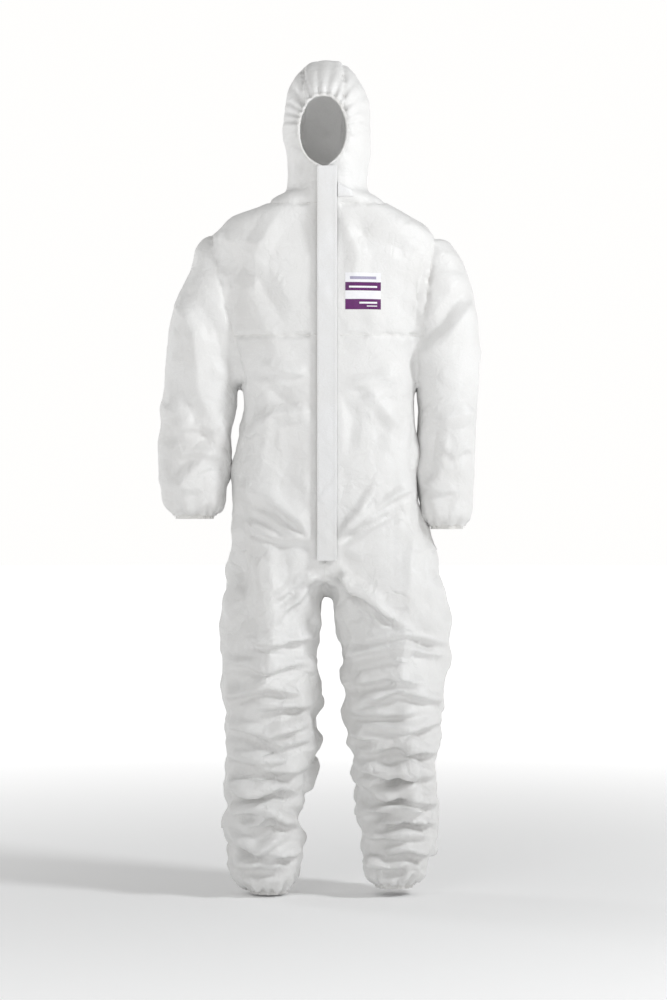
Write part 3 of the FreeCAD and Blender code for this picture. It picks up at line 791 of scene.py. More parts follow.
def smooth_line(p, closed, rounds):
    for _ in range(rounds):
        if closed:
            p = (np.roll(p, 1, axis=0) + 2 * p + np.roll(p, -1, axis=0)) / 4
        elif len(p) > 2:
            p = np.concatenate((p[:1], (p[:-2] + 2 * p[1:-1] + p[2:]) / 4, p[-1:]))
    return p


def evenly(p, step):
    """Points every step along a line, and the direction there."""
    lengths = np.concatenate(([0], np.cumsum(np.linalg.norm(np.diff(p, axis=0), axis=1))))
    at = np.arange(step / 2, lengths[-1], step)
    out = np.stack([np.interp(at, lengths, p[:, k]) for k in range(3)], 1)
    ahead = np.stack([np.interp(at + step / 2, lengths, p[:, k]) for k in range(3)], 1)
    behind = np.stack([np.interp(at - step / 2, lengths, p[:, k]) for k in range(3)], 1)
    return out, unit(ahead - behind)


def drawn_in(cloth, depth=0.0040, width=0.0060):
    """Pulls the cloth in along its seams, as sewing does."""
    on_seam = np.unique(np.array([e for pairs in cloth.seams.values() for e in pairs]))
    tree = KDTree(len(on_seam))
    for k, v in enumerate(on_seam):
        tree.insert(cloth.co[v], k)
    tree.balance()
    gap = np.array([tree.find(p)[2] for p in cloth.co])
    near_zip = (cloth.co[:, 1] < -0.10) & (np.abs(cloth.co[:, 0]) < 0.030)
    uneven = 1 + 0.5 * swell(cloth.co, 0.030, np.random.default_rng(5))
    amount = depth * np.exp(-((gap / width) ** 2)) * uneven
    cloth.co = cloth.co - cloth.n * (amount * ~near_zip)[:, None]


def ridge(p, n, half, rise, closed=False, sunk=0.0006):
    """A low rounded bead along points p that stands up along n, as a sewn and overlocked seam does."""
    t = unit(np.roll(p, -1, axis=0) - np.roll(p, 1, axis=0)) if closed else unit(np.gradient(p, axis=0))
    side = unit(np.cross(t, n))
    pucker = 1 + 0.30 * waves(p, 0.009, 21)
    rows = []
    for across, up in ((-1, 0), (-0.75, 0.55), (-0.3, 0.95), (0.3, 1.0), (0.75, 0.6), (1, 0)):
        rows.append(p + side * (half * across) + n * ((rise * up) * pucker - sunk)[:, None])
    return lofted(rows, closed)


def stitches(p, n, pitch, half, rise, length=0.62):
    """Short raised stitches along a line."""
    at, t = evenly(p, pitch)
    nearest = np.array([np.argmin(((p - q) ** 2).sum(axis=1)) for q in at])
    up = unit(n[nearest])
    side = unit(np.cross(t, up))
    verts, faces = [], []
    for q, d, u, s in zip(at, t, up, side):
        k = len(verts)
        a = d * pitch * length / 2
        verts += [q - a - u * rise, q - a * 0.4 + s * half, q - a * 0.4 + u * rise, q - a * 0.4 - s * half]
        verts += [q + a * 0.4 + s * half, q + a * 0.4 + u * rise, q + a * 0.4 - s * half, q + a - u * rise]
        faces += [(k, k + 1, k + 2), (k, k + 2, k + 3)]
        faces += [(k + 1, k + 4, k + 5, k + 2), (k + 2, k + 5, k + 6, k + 3)]
        faces += [(k + 4, k + 7, k + 5), (k + 5, k + 7, k + 6)]
    return verts, faces


def chains(pairs):
    """Joins edges into runs of points."""
    joined = {}
    for a, b in pairs:
        joined.setdefault(a, []).append(b)
        joined.setdefault(b, []).append(a)
    left = {(min(e), max(e)) for e in pairs}
    runs = []
    for v in [v for v in joined if len(joined[v]) != 2] + list(joined):
        for w in joined[v]:
            if (min(v, w), max(v, w)) not in left:
                continue
            run = [v, w]
            left.discard((min(v, w), max(v, w)))
            while len(joined[run[-1]]) == 2:
                onward = [u for u in joined[run[-1]] if (min(u, run[-1]), max(u, run[-1])) in left]
                if not onward:
                    break
                left.discard((min(onward[0], run[-1]), max(onward[0], run[-1])))
                run.append(onward[0])
            runs.append(run)
    return runs


class Cloth:
    """The settled surface: its points, quads, panels, seams and rims."""

    def __init__(self, ob):
        me = ob.data
        self.co, self.n = coords(me), normals(ob)
        self.quads = np.array([p.vertices[:] for p in me.polygons])
        self.panel = np.empty(len(self.quads), np.int32)
        me.attributes["panel"].data.foreach_get("value", self.panel)
        ends = np.concatenate([np.sort(self.quads[:, [k, (k + 1) % 4]], axis=1) for k in range(4)])
        owner = np.tile(np.arange(len(self.quads)), 4)
        order = np.lexsort((ends[:, 1], ends[:, 0]))
        ends, owner = ends[order], owner[order]
        twin = (ends[1:] == ends[:-1]).all(axis=1)
        self.seams = {}
        for k in np.flatnonzero(twin):
            a, b = sorted((int(self.panel[owner[k]]), int(self.panel[owner[k + 1]])))
            if a != b:
                self.seams.setdefault((a, b), []).append(tuple(map(int, ends[k])))
        alone = ~np.concatenate((twin, [False])) & ~np.concatenate(([False], twin))
        self.rims = [r for r in chains([tuple(map(int, e)) for e in ends[alone]]) if len(r) > 20]

    def lines(self, a, b, least=14):
        return [np.array(r) for r in chains(self.seams.get((min(a, b), max(a, b)), [])) if len(r) > least]

    def points_and_faces(self, number):
        faces = self.quads[self.panel == number]
        used, inverse = np.unique(faces, return_inverse=True)
        return self.co[used], inverse.reshape(faces.shape)

    def rim_near(self, x, z):
        best = min(self.rims, key=lambda r: np.linalg.norm(self.co[r].mean(axis=0)[[0, 2]] - (x, z)))
        return np.array(best[:-1] if best[0] == best[-1] else best)


def sewn(cloth, name, number, others, half=0.0019, rise=0.0011):
    """The piece of one panel, with a bead along its seam with each of the others."""
    b = Build().add(*cloth.points_and_faces(number))
    for other in others:
        for line in cloth.lines(number, other):
            closed = line[0] == line[-1]
            line = line[:-1] if closed else line
            p = smooth_line(cloth.co[line], closed, 3)
            n = unit(smooth_line(cloth.n[line], closed, 6))
            b.add(*ridge(p, n, half, rise, closed), 1)
    return b.object(name, film, seam_film)


# ------------------------------------------------------------------ materials
def shader(name, roughness=0.5, **sockets):
    m = DATA.materials.new(name)
    m.use_nodes = True
    t = m.node_tree
    p = t.nodes["Principled BSDF"]
    p.inputs["Roughness"].default_value = roughness
    for key, value in sockets.items():
        p.inputs[key.replace("_", " ")].default_value = value
    return m, t, p


def node(t, kind, inputs=(), **settings):
    n = t.nodes.new(kind)
    for key, value in settings.items():
        setattr(n, key, value)
    for key, value in dict(inputs).items():
        if hasattr(value, "is_output"):
            t.links.new(value, n.inputs[key])
        else:
            n.inputs[key].default_value = value
    return n


def ramp(t, fac, stops):
    n = node(t, "ShaderNodeValToRGB", {"Fac": fac})
    while len(n.color_ramp.elements) < len(stops):
        n.color_ramp.elements.new(0.5)
    for e, (at, colour) in zip(n.color_ramp.elements, stops):
        e.position = at
        e.color = (*colour, 1)
    return n.outputs["Color"]


def maths(t, operation, a, b):
    return node(t, "ShaderNodeMath", {0: a, 1: b}, operation=operation).outputs[0]


def raised(t, p, layers):
    """Raises the surface by the sum of its height layers, in metres."""
    total = None
    for value, size in layers:
        part = maths(t, "MULTIPLY", value, size)
        total = part if total is None else maths(t, "ADD", total, part)
    bump = node(t, "ShaderNodeBump", {"Height": total, "Distance": 1.0, "Strength": 1.0})
    t.links.new(bump.outputs["Normal"], p.inputs["Normal"])


def laminate(name, light, shade, grain=1.0, crinkle=1.0, roughness=0.46):
    """Microporous film on bonded fibre: point-bonded grain, fine crinkles and faint clouding."""
    m, t, p = shader(name, roughness, Sheen_Weight=0.12, Sheen_Roughness=0.4, Specular_IOR_Level=0.42)
    at = node(t, "ShaderNodeTexCoord").outputs["Object"]
    cloud = node(t, "ShaderNodeTexNoise", {"Vector": at, "Scale": 9.0, "Detail": 4.0}).outputs["Fac"]
    fibre = node(t, "ShaderNodeTexNoise", {"Vector": at, "Scale": 520.0, "Detail": 3.0, "Roughness": 0.7})
    bonds = node(t, "ShaderNodeTexVoronoi", {"Vector": at, "Scale": 620.0, "Randomness": 0.35})
    warp = node(t, "ShaderNodeTexNoise", {"Vector": at, "Scale": 22.0, "Detail": 3.0}).outputs["Color"]
    warped = node(t, "ShaderNodeVectorMath", {0: warp, "Scale": 0.05}, operation="SCALE").outputs[0]
    moved = node(t, "ShaderNodeVectorMath", {0: at, 1: warped}, operation="ADD").outputs[0]
    folds = node(t, "ShaderNodeTexVoronoi", {"Vector": moved, "Scale": 17.0}, feature="DISTANCE_TO_EDGE")
    small = node(t, "ShaderNodeTexVoronoi", {"Vector": moved, "Scale": 46.0}, feature="DISTANCE_TO_EDGE")
    sharp = node(t, "ShaderNodeMapRange", {"Value": folds.outputs["Distance"], "From Max": 0.16}).outputs[0]
    fine = node(t, "ShaderNodeMapRange", {"Value": small.outputs["Distance"], "From Max": 0.20}).outputs[0]
    patch = node(t, "ShaderNodeTexNoise", {"Vector": at, "Scale": 7.0, "Detail": 2.0}).outputs["Fac"]
    sharp_folds = {"Vector": moved, "Scale": 5.0, "Detail": 2.5, "Roughness": 0.55}
    lines = node(t, "ShaderNodeTexNoise", sharp_folds, noise_type="RIDGED_MULTIFRACTAL").outputs["Fac"]
    where = node(t, "ShaderNodeMapRange", {"Value": patch, "From Min": 0.40, "From Max": 0.62}).outputs[0]
    crease = maths(t, "MULTIPLY", sharp, where)
    drop = node(t, "ShaderNodeSeparateXYZ", {"Vector": at}).outputs["Z"]
    fall = {"Value": drop, "From Min": CHEST_SEAM, "From Max": -1.1, "To Min": 0.7, "To Max": 2.0}
    more = node(t, "ShaderNodeMapRange", fall).outputs[0]
    crease = maths(t, "MULTIPLY", crease, more)
    lines = maths(t, "MULTIPLY", lines, more)
    tone = maths(t, "MULTIPLY", fibre.outputs["Fac"], cloud)
    t.links.new(ramp(t, tone, ((0.12, shade), (0.40, light))), p.inputs["Base Color"])
    rough = {"Value": cloud, "To Min": roughness - 0.07, "To Max": roughness + 0.09}
    t.links.new(node(t, "ShaderNodeMapRange", rough).outputs[0], p.inputs["Roughness"])
    raised(t, p, (
        (crease, 0.0011 * crinkle), (fine, 0.00030 * crinkle), (lines, 0.0022 * crinkle),
        (fibre.outputs["Fac"], 0.00007 * grain), (bonds.outputs["Distance"], 0.00006 * grain),
    ))
    return m


def grained(name, light, dark, scale, size, roughness=0.5, stretch=(1, 1, 1), **sockets):
    """A plain material with an uneven colour and a fine raised grain."""
    m, t, p = shader(name, roughness, **sockets)
    at = node(t, "ShaderNodeTexCoord").outputs["Object"]
    at = node(t, "ShaderNodeMapping", {"Vector": at, "Scale": stretch}).outputs[0]
    a = node(t, "ShaderNodeTexNoise", {"Vector": at, "Scale": scale, "Detail": 3.0}).outputs["Fac"]
    b = node(t, "ShaderNodeTexNoise", {"Vector": at, "Scale": scale / 12, "Detail": 2.0}).outputs["Fac"]
    tone = maths(t, "MULTIPLY", a, b)
    t.links.new(ramp(t, tone, ((0.12, dark), (0.42, light))), p.inputs["Base Color"])
    raised(t, p, ((a, size),))
    return m


def woven(name, light, dark, pitch, size, roughness=0.75):
    """Narrow woven tape: ribs across it and threads along it."""
    m, t, p = shader(name, roughness, Sheen_Weight=0.2)
    at = node(t, "ShaderNodeTexCoord").outputs["Object"]
    wave = {"Vector": at, "Scale": 1 / (6.3 * pitch)}
    ribs = node(t, "ShaderNodeTexWave", {**wave, "Distortion": 0.4}, bands_direction="Z")
    threads = node(t, "ShaderNodeTexWave", wave, bands_direction="X")
    mixed = maths(t, "MULTIPLY", ribs.outputs["Fac"], threads.outputs["Fac"])
    t.links.new(ramp(t, mixed, ((0.0, dark), (1.0, light))), p.inputs["Base Color"])
    raised(t, p, ((mixed, size),))
    return m


WHITE, SOFT_WHITE, WARM = (0.775, 0.775, 0.77), (0.71, 0.705, 0.695), (0.69, 0.68, 0.66)
film = laminate("film_laminate", WHITE, SOFT_WHITE)
seam_film = laminate("seam_laminate", (0.77, 0.77, 0.77), WARM, 1.4, 0.5, 0.55)
hem_film = laminate("hem_laminate", WHITE, WARM, 1.3, 0.6, 0.52)
flap_film = laminate("flap_laminate", (0.77, 0.775, 0.785), SOFT_WHITE, 1.0, 0.55, 0.44)
thread = grained("sewing_thread", (0.82, 0.82, 0.81), (0.62, 0.62, 0.60), 900.0, 0.0001, 0.7)
label_paper = grained("label_paper", (0.86, 0.86, 0.88), (0.80, 0.80, 0.83), 240.0, 0.00003, 0.35)
label_purple = grained("label_purple", (0.125, 0.006, 0.135), (0.085, 0.004, 0.095), 240.0, 0.00003, 0.33)
label_grey = grained("label_grey", (0.40, 0.38, 0.50), (0.32, 0.30, 0.42), 240.0, 0.00003, 0.35)
tape_weave = woven("zip_tape_weave", (0.83, 0.83, 0.82), (0.66, 0.66, 0.65), 0.0009, 0.00012)
nylon = grained("zip_nylon", (0.82, 0.82, 0.81), (0.72, 0.72, 0.71), 300.0, 0.00003, 0.32, Coat_Weight=0.2)
enamel = (0.80, 0.80, 0.79), (0.68, 0.68, 0.67)
metal = grained("slider_enamel", *enamel, 420.0, 0.00002, 0.28, Coat_Weight=0.5)
glue = grained("adhesive_film", (0.72, 0.70, 0.62), (0.62, 0.60, 0.52), 160.0, 0.00010, 0.18)
release = grained("release_liner", (0.80, 0.78, 0.70), (0.70, 0.68, 0.60), 120.0, 0.00005, 0.22)
satin = woven("size_label_satin", (0.86, 0.86, 0.86), (0.76, 0.76, 0.76), 0.0006, 0.00005, 0.45)


# ------------------------------------------------------------------ the suit
suit = cut_panels(base_surface())
before = coords(suit.data)
right_arm, left_arm = sleeves(before)
n0 = normals(suit)
facing = smoothstep(0.05, 0.55, -n0[:, 1])
held = hold(before, right_arm, left_arm)
drawn = laid_folds(np.random.default_rng(3))
chance = loose_folds(before, n0, np.random.default_rng(7))


def folds_at(co, spread_back, facing, narrow=1.0):
    """The height of every fold at each point; spread_back is how far in its sleeve moves at the end."""
    shown = co.copy()
    shown[:, 0] -= spread_back
    total = crease_field(shown, [(w * narrow, h, p) for w, h, p in drawn], True) * facing
    return total + 0.55 * crease_field(co, chance, False) * (1 - 0.85 * facing)


outward = sleeve_shift(before[:, 2]) * (left_arm.astype(float) - right_arm)
folds = folds_at(before, outward, facing)
ease_of = ease(before, right_arm, left_arm)
start = 0.40 * folds + 0.0030 * waves(before, 0.070, 1) + 0.0012 * waves(before, 0.028, 2)
settled = before.copy()
settled = settle(before, suit.data, *ease_of, held, n0 * start[:, None])
free = 1 - smoothstep(0.6, 1.0, held)
for name, values in (("out", outward), ("free", free)):
    suit.data.attributes.new(name, "FLOAT", "POINT").data.foreach_set("value", values.astype(np.float32))
mark_panels(suit, before)
rest = suit.copy()
rest.data = suit.data.copy()
bpy.context.collection.objects.link(rest)
set_coords(suit.data, settled)
subdivided(suit, 1)
subdivided(rest, 1)


def attribute(me, name):
    out = np.empty(len(me.vertices), np.float32)
    me.attributes[name].data.foreach_get("value", out)
    return out.astype(float)


# the folds' sharp edges are drawn once more on the finer mesh
fine = coords(rest.data)
n1 = normals(suit)
loose = attribute(suit.data, "free")
out1 = attribute(suit.data, "out")
facing1 = smoothstep(0.05, 0.55, -normals(rest)[:, 1])
crisp = folds_at(fine, out1, facing1, CRISP_WIDTH) * loose
levels = (-1.45, -1.10, -0.85, -0.55, -0.30, 0.05, 0.30)
crisp *= np.interp(fine[:, 2], levels, (2.0, 1.8, 1.35, 1.05, 0.85, 0.75, 0.80))
rough = np.interp(fine[:, 2], levels, (0.9, 0.8, 0.55, 0.40, 0.30, 0.20, 0.15))
crisp += crumple(fine, 3, 12, 0.045) * loose * rough
drape = np.interp(fine[:, 2], levels, (0.58, 0.55, 0.50, 0.45, 0.42, 0.42, 0.60))[:, None]
co = fine + (coords(suit.data) - fine) * drape + n1 * (crisp + gathers(fine))[:, None]
co[:, 0] -= out1
over = np.maximum(FOLD_FRONT - co[:, 1], 0)
co[:, 1] += over - FOLD_PROUD * np.tanh(over / FOLD_PROUD)
set_coords(suit.data, co)
DATA.objects.remove(rest)
cloth = Cloth(suit)
drawn_in(cloth)
DATA.objects.remove(suit)

pieces = {}


def finish(ob, slot, *nodes):
    """Hides the CAD nodes that the piece stands for, and keeps the piece among the pieces; slot is not used.
    """
    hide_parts(*nodes)
    pieces[ob.name] = ob


def riding(ob, body, slot, *nodes):
    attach(ob, body)
    finish(ob, slot, *nodes)


def finish_panel(ob, flat, area, *nodes):
    finish(ob, "laminate", *nodes)


# hood
for part, number, others, flat, area in (
    ("centre", HOOD_CENTRE, (HOOD_RIGHT, HOOD_LEFT, BACK_UPPER), (0.13, 0.52), 0.058),
    ("right", HOOD_RIGHT, (YOKE_RIGHT, BACK_UPPER, HOOD_LEFT), (0.26, 0.34), 0.068),
    ("left", HOOD_LEFT, (YOKE_LEFT, BACK_UPPER), (0.28, 0.36), 0.078),
):
    ob = sewn(cloth, f"hood_{part}_cloth", number, others)
    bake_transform(ob)
    finish_panel(ob, flat, area, f"hood_{part}_panel", f"hood_{part}_neck")

# body
FRONTS = (YOKE_RIGHT, YOKE_LEFT, FRONT_RIGHT, FRONT_LEFT)
for name, number, others, node_name, flat, area in (
    ("yoke_right_cloth", YOKE_RIGHT, (), "right_front_yoke", (0.27, 0.33), 0.078),
    ("yoke_left_cloth", YOKE_LEFT, (), "left_front_yoke", (0.27, 0.33), 0.078),
    ("back_upper_cloth", BACK_UPPER, FRONTS, "upper_back_panel", (0.58, 0.54), 0.265),
):
    ob = sewn(cloth, name, number, others)
    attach(ob, "torso")
    finish_panel(ob, flat, area, node_name)

# for each side: its yoke, front, back and sleeve, and where the sleeve starts to bend
for side, sign, (yoke, front, back, sleeve), begin in (
    ("right", -1, (YOKE_RIGHT, FRONT_RIGHT, BACK_RIGHT, SLEEVE_RIGHT), (-0.165, 0, -0.434)),
    ("left", 1, (YOKE_LEFT, FRONT_LEFT, BACK_LEFT, SLEEVE_LEFT), (0.190, 0, -0.395)),
):
    # the seams down the middle belong to the right side's panels, and so does the gusset
    right = side == "right"
    ob = sewn(cloth, f"front_{side}_cloth", front, (yoke, FRONT_LEFT) if right else (yoke,), 0.0026, 0.0013)
    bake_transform(ob)
    finish_panel(ob, (0.38, 1.24), 0.395, f"{side}_front_panel", f"{side}_thigh_front", f"{side}_leg_front")
    ob = sewn(cloth, f"back_{side}_cloth", back, (front, BACK_LEFT) if right else (front,))
    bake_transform(ob)
    nodes = (f"{side}_back_panel", f"{side}_thigh_back", f"{side}_leg_back")
    if right:
        nodes += ("crotch_gusset",)
    finish_panel(ob, (0.38, 1.04), 0.310, *nodes)
    ob = sewn(cloth, f"sleeve_{side}_cloth", sleeve, range(SLEEVE_RIGHT))
    begin = np.array(begin)
    end = begin + np.array((sign * 0.090, 0, -0.178))
    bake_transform(ob)
    finish_panel(ob, (0.50, 0.66), 0.260, f"{side}_sleeve", f"{side}_sleeve_cap")


def band(points, profile, outward, along):
    """A band swept round a rim: profile has (away from the rim, outwards, how much of the gathers stays)."""
    smooth = smooth_line(points, True, 60)
    level = smooth * (1, 1, 0) + (0, 0, smooth[:, 2].mean())
    rows = []
    for away, out, keep in profile:
        down = smoothstep(-0.001, 0.004, away)
        gathered = points - smooth
        at = (smooth + gathered * keep) * (1 - down) + (level + gathered * (keep, keep, 0)) * down
        rows.append(at + outward * out + along * away)
    return lofted(rows, True)


HEM_PROFILE = (
    (-0.0010, 0.0004, 1.0), (0.0006, -0.0024, 0.95), (0.0022, -0.0046, 0.9), (0.0045, -0.0056, 0.9),
    (0.0068, -0.0052, 0.95), (0.0084, -0.0052, 1.0), (0.0090, -0.0062, 1.0), (0.0082, -0.0074, 0.95),
    (0.0060, -0.0082, 0.9), (0.0030, -0.0088, 0.85), (-0.0010, -0.0080, 0.8), (-0.0060, -0.0070, 0.7),
)
for side in ("right", "left"):
    for limb, level, x, part in (
        ("sleeve", WRISTS[side], WRIST_X[side], "wrist"),
        ("leg", ANKLES[side], ANKLE_X[side], "ankle"),
    ):
        line = cloth.rim_near(x, level)
        p = cloth.co[line]
        even = smooth_line(p, True, 60)
        outward = unit((even - p.mean(axis=0)) * (1, 1, 0))
        b = Build().add(*band(p, HEM_PROFILE, outward, np.array((0, 0, -1.0))))
        row = even + (p - even) * 0.9 - outward * 0.0016
        row = np.concatenate((row, row[:1])) + (0, 0, -0.0034)
        b.add(*stitches(row, np.concatenate((outward, outward[:1])), 0.0034, 0.0004, 0.0005), 1)
        ob = b.object(f"{part}_hem_{side}", hem_film, thread)
        riding(ob, f"{side}_{limb}", "hem_cloth", f"{side}_{part}_hem", f"{side}_{part}_elastic")

# the rolled hem round the face opening, open where the zip comes up
rim = cloth.rim_near(FACE_CENTRE[0], -0.25)
p = cloth.co[rim]
r, _, _ = oval(p)
on_face = (r < 1.12) & (p[:, 2] > 0.055)
first = int(np.flatnonzero(on_face & ~np.roll(on_face, 1))[0])
line = np.roll(rim, -first)[: int(on_face.sum())]
p = cloth.co[line]
smooth = smooth_line(p, False, 40)
inward = unit((np.array((FACE_CENTRE[0], 0, FACE_CENTRE[1])) - smooth) * (1, 0, 1))
FACE_PROFILE = (
    (-0.0044, -0.0010, 0.9), (-0.0034, -0.0032, 0.6), (-0.0008, -0.0040, 0.35), (0.0016, -0.0030, 0.2),
    (0.0026, -0.0004, 0.15), (0.0022, 0.0030, 0.15), (0.0008, 0.0070, 0.15), (-0.0016, 0.0110, 0.15),
)
rows = [smooth + (p - smooth) * keep + inward * a + np.array((0, back, 0)) for a, back, keep in FACE_PROFILE]
b = Build().add(*lofted(rows))
row = rows[1] + (0, -0.0006, 0)
b.add(*stitches(row, np.tile((0.0, -1.0, 0.0), (len(row), 1)), 0.0034, 0.0004, 0.0006), 1)
ob = b.object("face_hem_cloth", hem_film, thread)
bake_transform(ob)
finish(ob, "hem_cloth", "face_hem", "face_elastic")

# the elastic channel across the back of the waist
CHANNEL_PROFILE = (
    (-0.0085, -0.0010), (-0.0080, 0.0006), (-0.005, 0.0012), (0, 0.0008), (0.005, 0.0012),
    (0.0080, 0.0006), (0.0085, -0.0010),
)
b = Build()
for lower in (BACK_RIGHT, BACK_LEFT):
    for line in cloth.lines(BACK_UPPER, lower, least=6):
        p = smooth_line(cloth.co[line], False, 1)
        n = unit(smooth_line(cloth.n[line], False, 4))
        up = np.array((0, 0, 1.0))
        rows = []
        for level, out in CHANNEL_PROFILE:
            rows.append(p + up * level + n * (out + 0.0006 * waves(p + up * level, 0.006, 31)[:, None]))
        b.add(*lofted(rows))
        for level in (-0.0068, 0.0068):
            b.add(*stitches(p + up * level + n * 0.0011, n, 0.0036, 0.0004, 0.0005), 1)
ob = b.object("waist_channel", seam_film, thread)
riding(ob, "torso", "elastic", "waist_elastic")

# the storm flap, sewn along its left edge
box = [np.array(c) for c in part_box("storm_flap")]
z = np.arange(box[1][2], box[0][2], -0.004)
across = np.array((0.0, 0.004, 0.010, 0.030, 0.12, 0.25, 0.40, 0.55, 0.70, 0.84, 0.93, 0.975, 0.99, 1.0))
x = box[1][0] - 0.0006 - across * (box[1][0] - box[0][0] - 0.0006)
xx, zz = np.meshgrid(x, z)
at = np.stack((xx, np.zeros_like(xx), zz), 2).reshape(-1, 3)
loose_edge = smoothstep(0.05, 0.6, np.tile(across, len(z)))
wave = 0.0011 * waves(at, 0.060, 41, (1.6, 1, 1)) + 0.0006 * waves(at, 0.020, 42, (0.7, 1, 1))
wave += FLAP_WAVE * np.maximum(crease_field(at, FLAP_FOLDS, True), -0.2)
front_y = FLAP_FRONT - np.maximum(0.0004 + wave * (0.3 + 0.7 * loose_edge), 0)
edge = np.tile(np.where((across < 0.008) | (across > 0.995), 1.0, 0.0), len(z))
at[:, 1] = front_y + 0.0008 * edge
front_rows = at.reshape(len(z), len(across), 3)
back_rows = front_rows[:, ::-1].copy()
back_rows[:, :, 1] = FLAP_BACK
root = front_rows[:, :1].copy()
root[:, 0, 0] += 0.0010
root[:, 0, 1] = FLAP_ROOT
rows = np.concatenate((root, front_rows, back_rows, root), axis=1)
b = Build().add(*lofted(rows))
for edge_row in (rows[0], rows[-1][::-1]):
    k = len(b.verts)
    b.verts += [tuple(v) for v in edge_row]
    b.faces.append(tuple(range(k, k + len(edge_row))))
    b.kinds.append(0)
up = np.tile((0.0, -1.0, 0.0), (len(z), 1))
for k in (4, 10):
    line = front_rows[:, k] + (0, -0.0003, 0)
    b.add(*stitches(line, up, 0.0036, 0.00045, 0.0005), 1)
ob = b.object("flap_cloth", flap_film, thread)
riding(ob, "storm_flap", "laminate", "storm_flap")


def neighbour_mean(rows):
    """The mean of the four neighbours' y, for each inner point of a grid."""
    return (rows[:-2, 1:-1, 1] + rows[2:, 1:-1, 1] + rows[1:-1, :-2, 1] + rows[1:-1, 2:, 1]) / 4


# the chest label, lying on the yoke: bands and plain bars only
PAPER, PURPLE, GREY = range(3)
# each as a share of the label: from and to going down, from and to going across; later ones lie on top
LABEL_PRINT = (
    (0.26, 0.50, 0.0, 1.0, PURPLE), (0.72, 1.0, 0.0, 1.0, PURPLE), (0.09, 0.17, 0.12, 0.88, GREY),
    (0.80, 0.84, 0.40, 0.90, PAPER), (0.89, 0.92, 0.60, 0.90, PAPER), (0.36, 0.40, 0.1, 0.9, PAPER),
)
yoke = pieces["yoke_left_cloth"]
tree = BVHTree.FromObject(yoke, bpy.context.evaluated_depsgraph_get())
box = [np.array(c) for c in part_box("chest_label")]
rows = []
columns, lines = 39, 40
for v in np.linspace(0, 1, lines):
    row = []
    for u in np.linspace(0, 1, columns):
        x = box[0][0] + u * (box[1][0] - box[0][0])
        z = box[1][2] + v * (box[0][2] - box[1][2])
        hit = tree.ray_cast(Vector((x, -0.5, z)), Vector((0, 1, 0)))[0]
        row.append((x, hit.y if hit else FRONT, z))
    rows.append(row)
rows = np.array(rows)
for _ in range(2):
    rows[1:-1, 1:-1, 1] = np.minimum(neighbour_mean(rows), rows[1:-1, 1:-1, 1])
rows[:, :, 1] -= 0.0007
verts, faces = lofted(rows)
kinds = []
for i in range(lines - 1):
    for j in range(columns - 1):
        u, v = (j + 0.5) / (columns - 1), (i + 0.5) / (lines - 1)
        kinds.append(PAPER)
        for top, bottom, start, end, ink in LABEL_PRINT:
            if top < v < bottom and start < u < end:
                kinds[-1] = ink
skirt = np.concatenate((rows[0], rows[1:, -1], rows[-1, -2::-1], rows[-2:0:-1, 0]))
b = Build().add(verts, faces)
b.kinds = kinds
b.add(*lofted([skirt, skirt + (0, 0.0010, 0)], True))
ob = b.object("chest_label_print", label_paper, label_purple, label_grey)
riding(ob, "torso", "printed_label", "chest_label")

# the size label inside the collar
box = [np.array(c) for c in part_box("neck_label")]
rows = []
for v in np.linspace(0, 1, 16):
    y = box[0][1] - 0.0006 - 0.004 * v * v
    z = box[1][2] + v * (box[0][2] - box[1][2])
    rows.append([(x, y + 0.0008 * math.sin(90 * x), z) for x in np.linspace(box[0][0], box[1][0], 14)])
rows = np.array(rows)
verts, faces = lofted(np.concatenate((rows, rows[::-1] + (0, 0.0003, 0))))
ob = Build().add(verts, faces).object("size_label", satin)
riding(ob, "torso", "size_label", "neck_label")

# the chin guard, a tapered patch over the left side of the neck
hood = pieces["hood_left_cloth"]
tree = BVHTree.FromObject(hood, bpy.context.evaluated_depsgraph_get())
low, high = (np.array(c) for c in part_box("chin_guard"))
rows = []
for u in np.linspace(0, 1, 30):
    x = low[0] + u * (high[0] - low[0])
    top = high[2] + u * (0.008 - high[2])
    row = []
    for v in np.linspace(0, 1, 9):
        z = low[2] + 0.004 + v * (top - low[2] - 0.004)
        hit = tree.find_nearest(Vector((x, FRONT + 1.1 * max(0.0, x - 0.045), z)))[0]
        row.append((x, hit.y, z))
    rows.append(row)
rows = np.array(rows)
for _ in range(6):
    rows[1:-1, 1:-1, 1] = neighbour_mean(rows)
way = unit(rows * (1, 1, 0))
rows += way * 0.0016
over = np.concatenate((rows[:, :1] - way[:, :1] * 0.0022, rows, rows[:, -1:] - way[:, -1:] * 0.0022), axis=1)
b = Build().add(*lofted(over))
for k in (1, 7):
    b.add(*stitches(rows[:, k] + way[:, k] * 0.0003, way[:, k], 0.0034, 0.0004, 0.0005), 1)
ob = b.object("chin_guard_patch", flap_film, thread)
riding(ob, "torso", "laminate", "chin_guard")


# the zip's coiled teeth
COIL_PITCH, COIL_WIRE = 0.0022, 0.0004         # the distance between turns, and the wire's half thickness


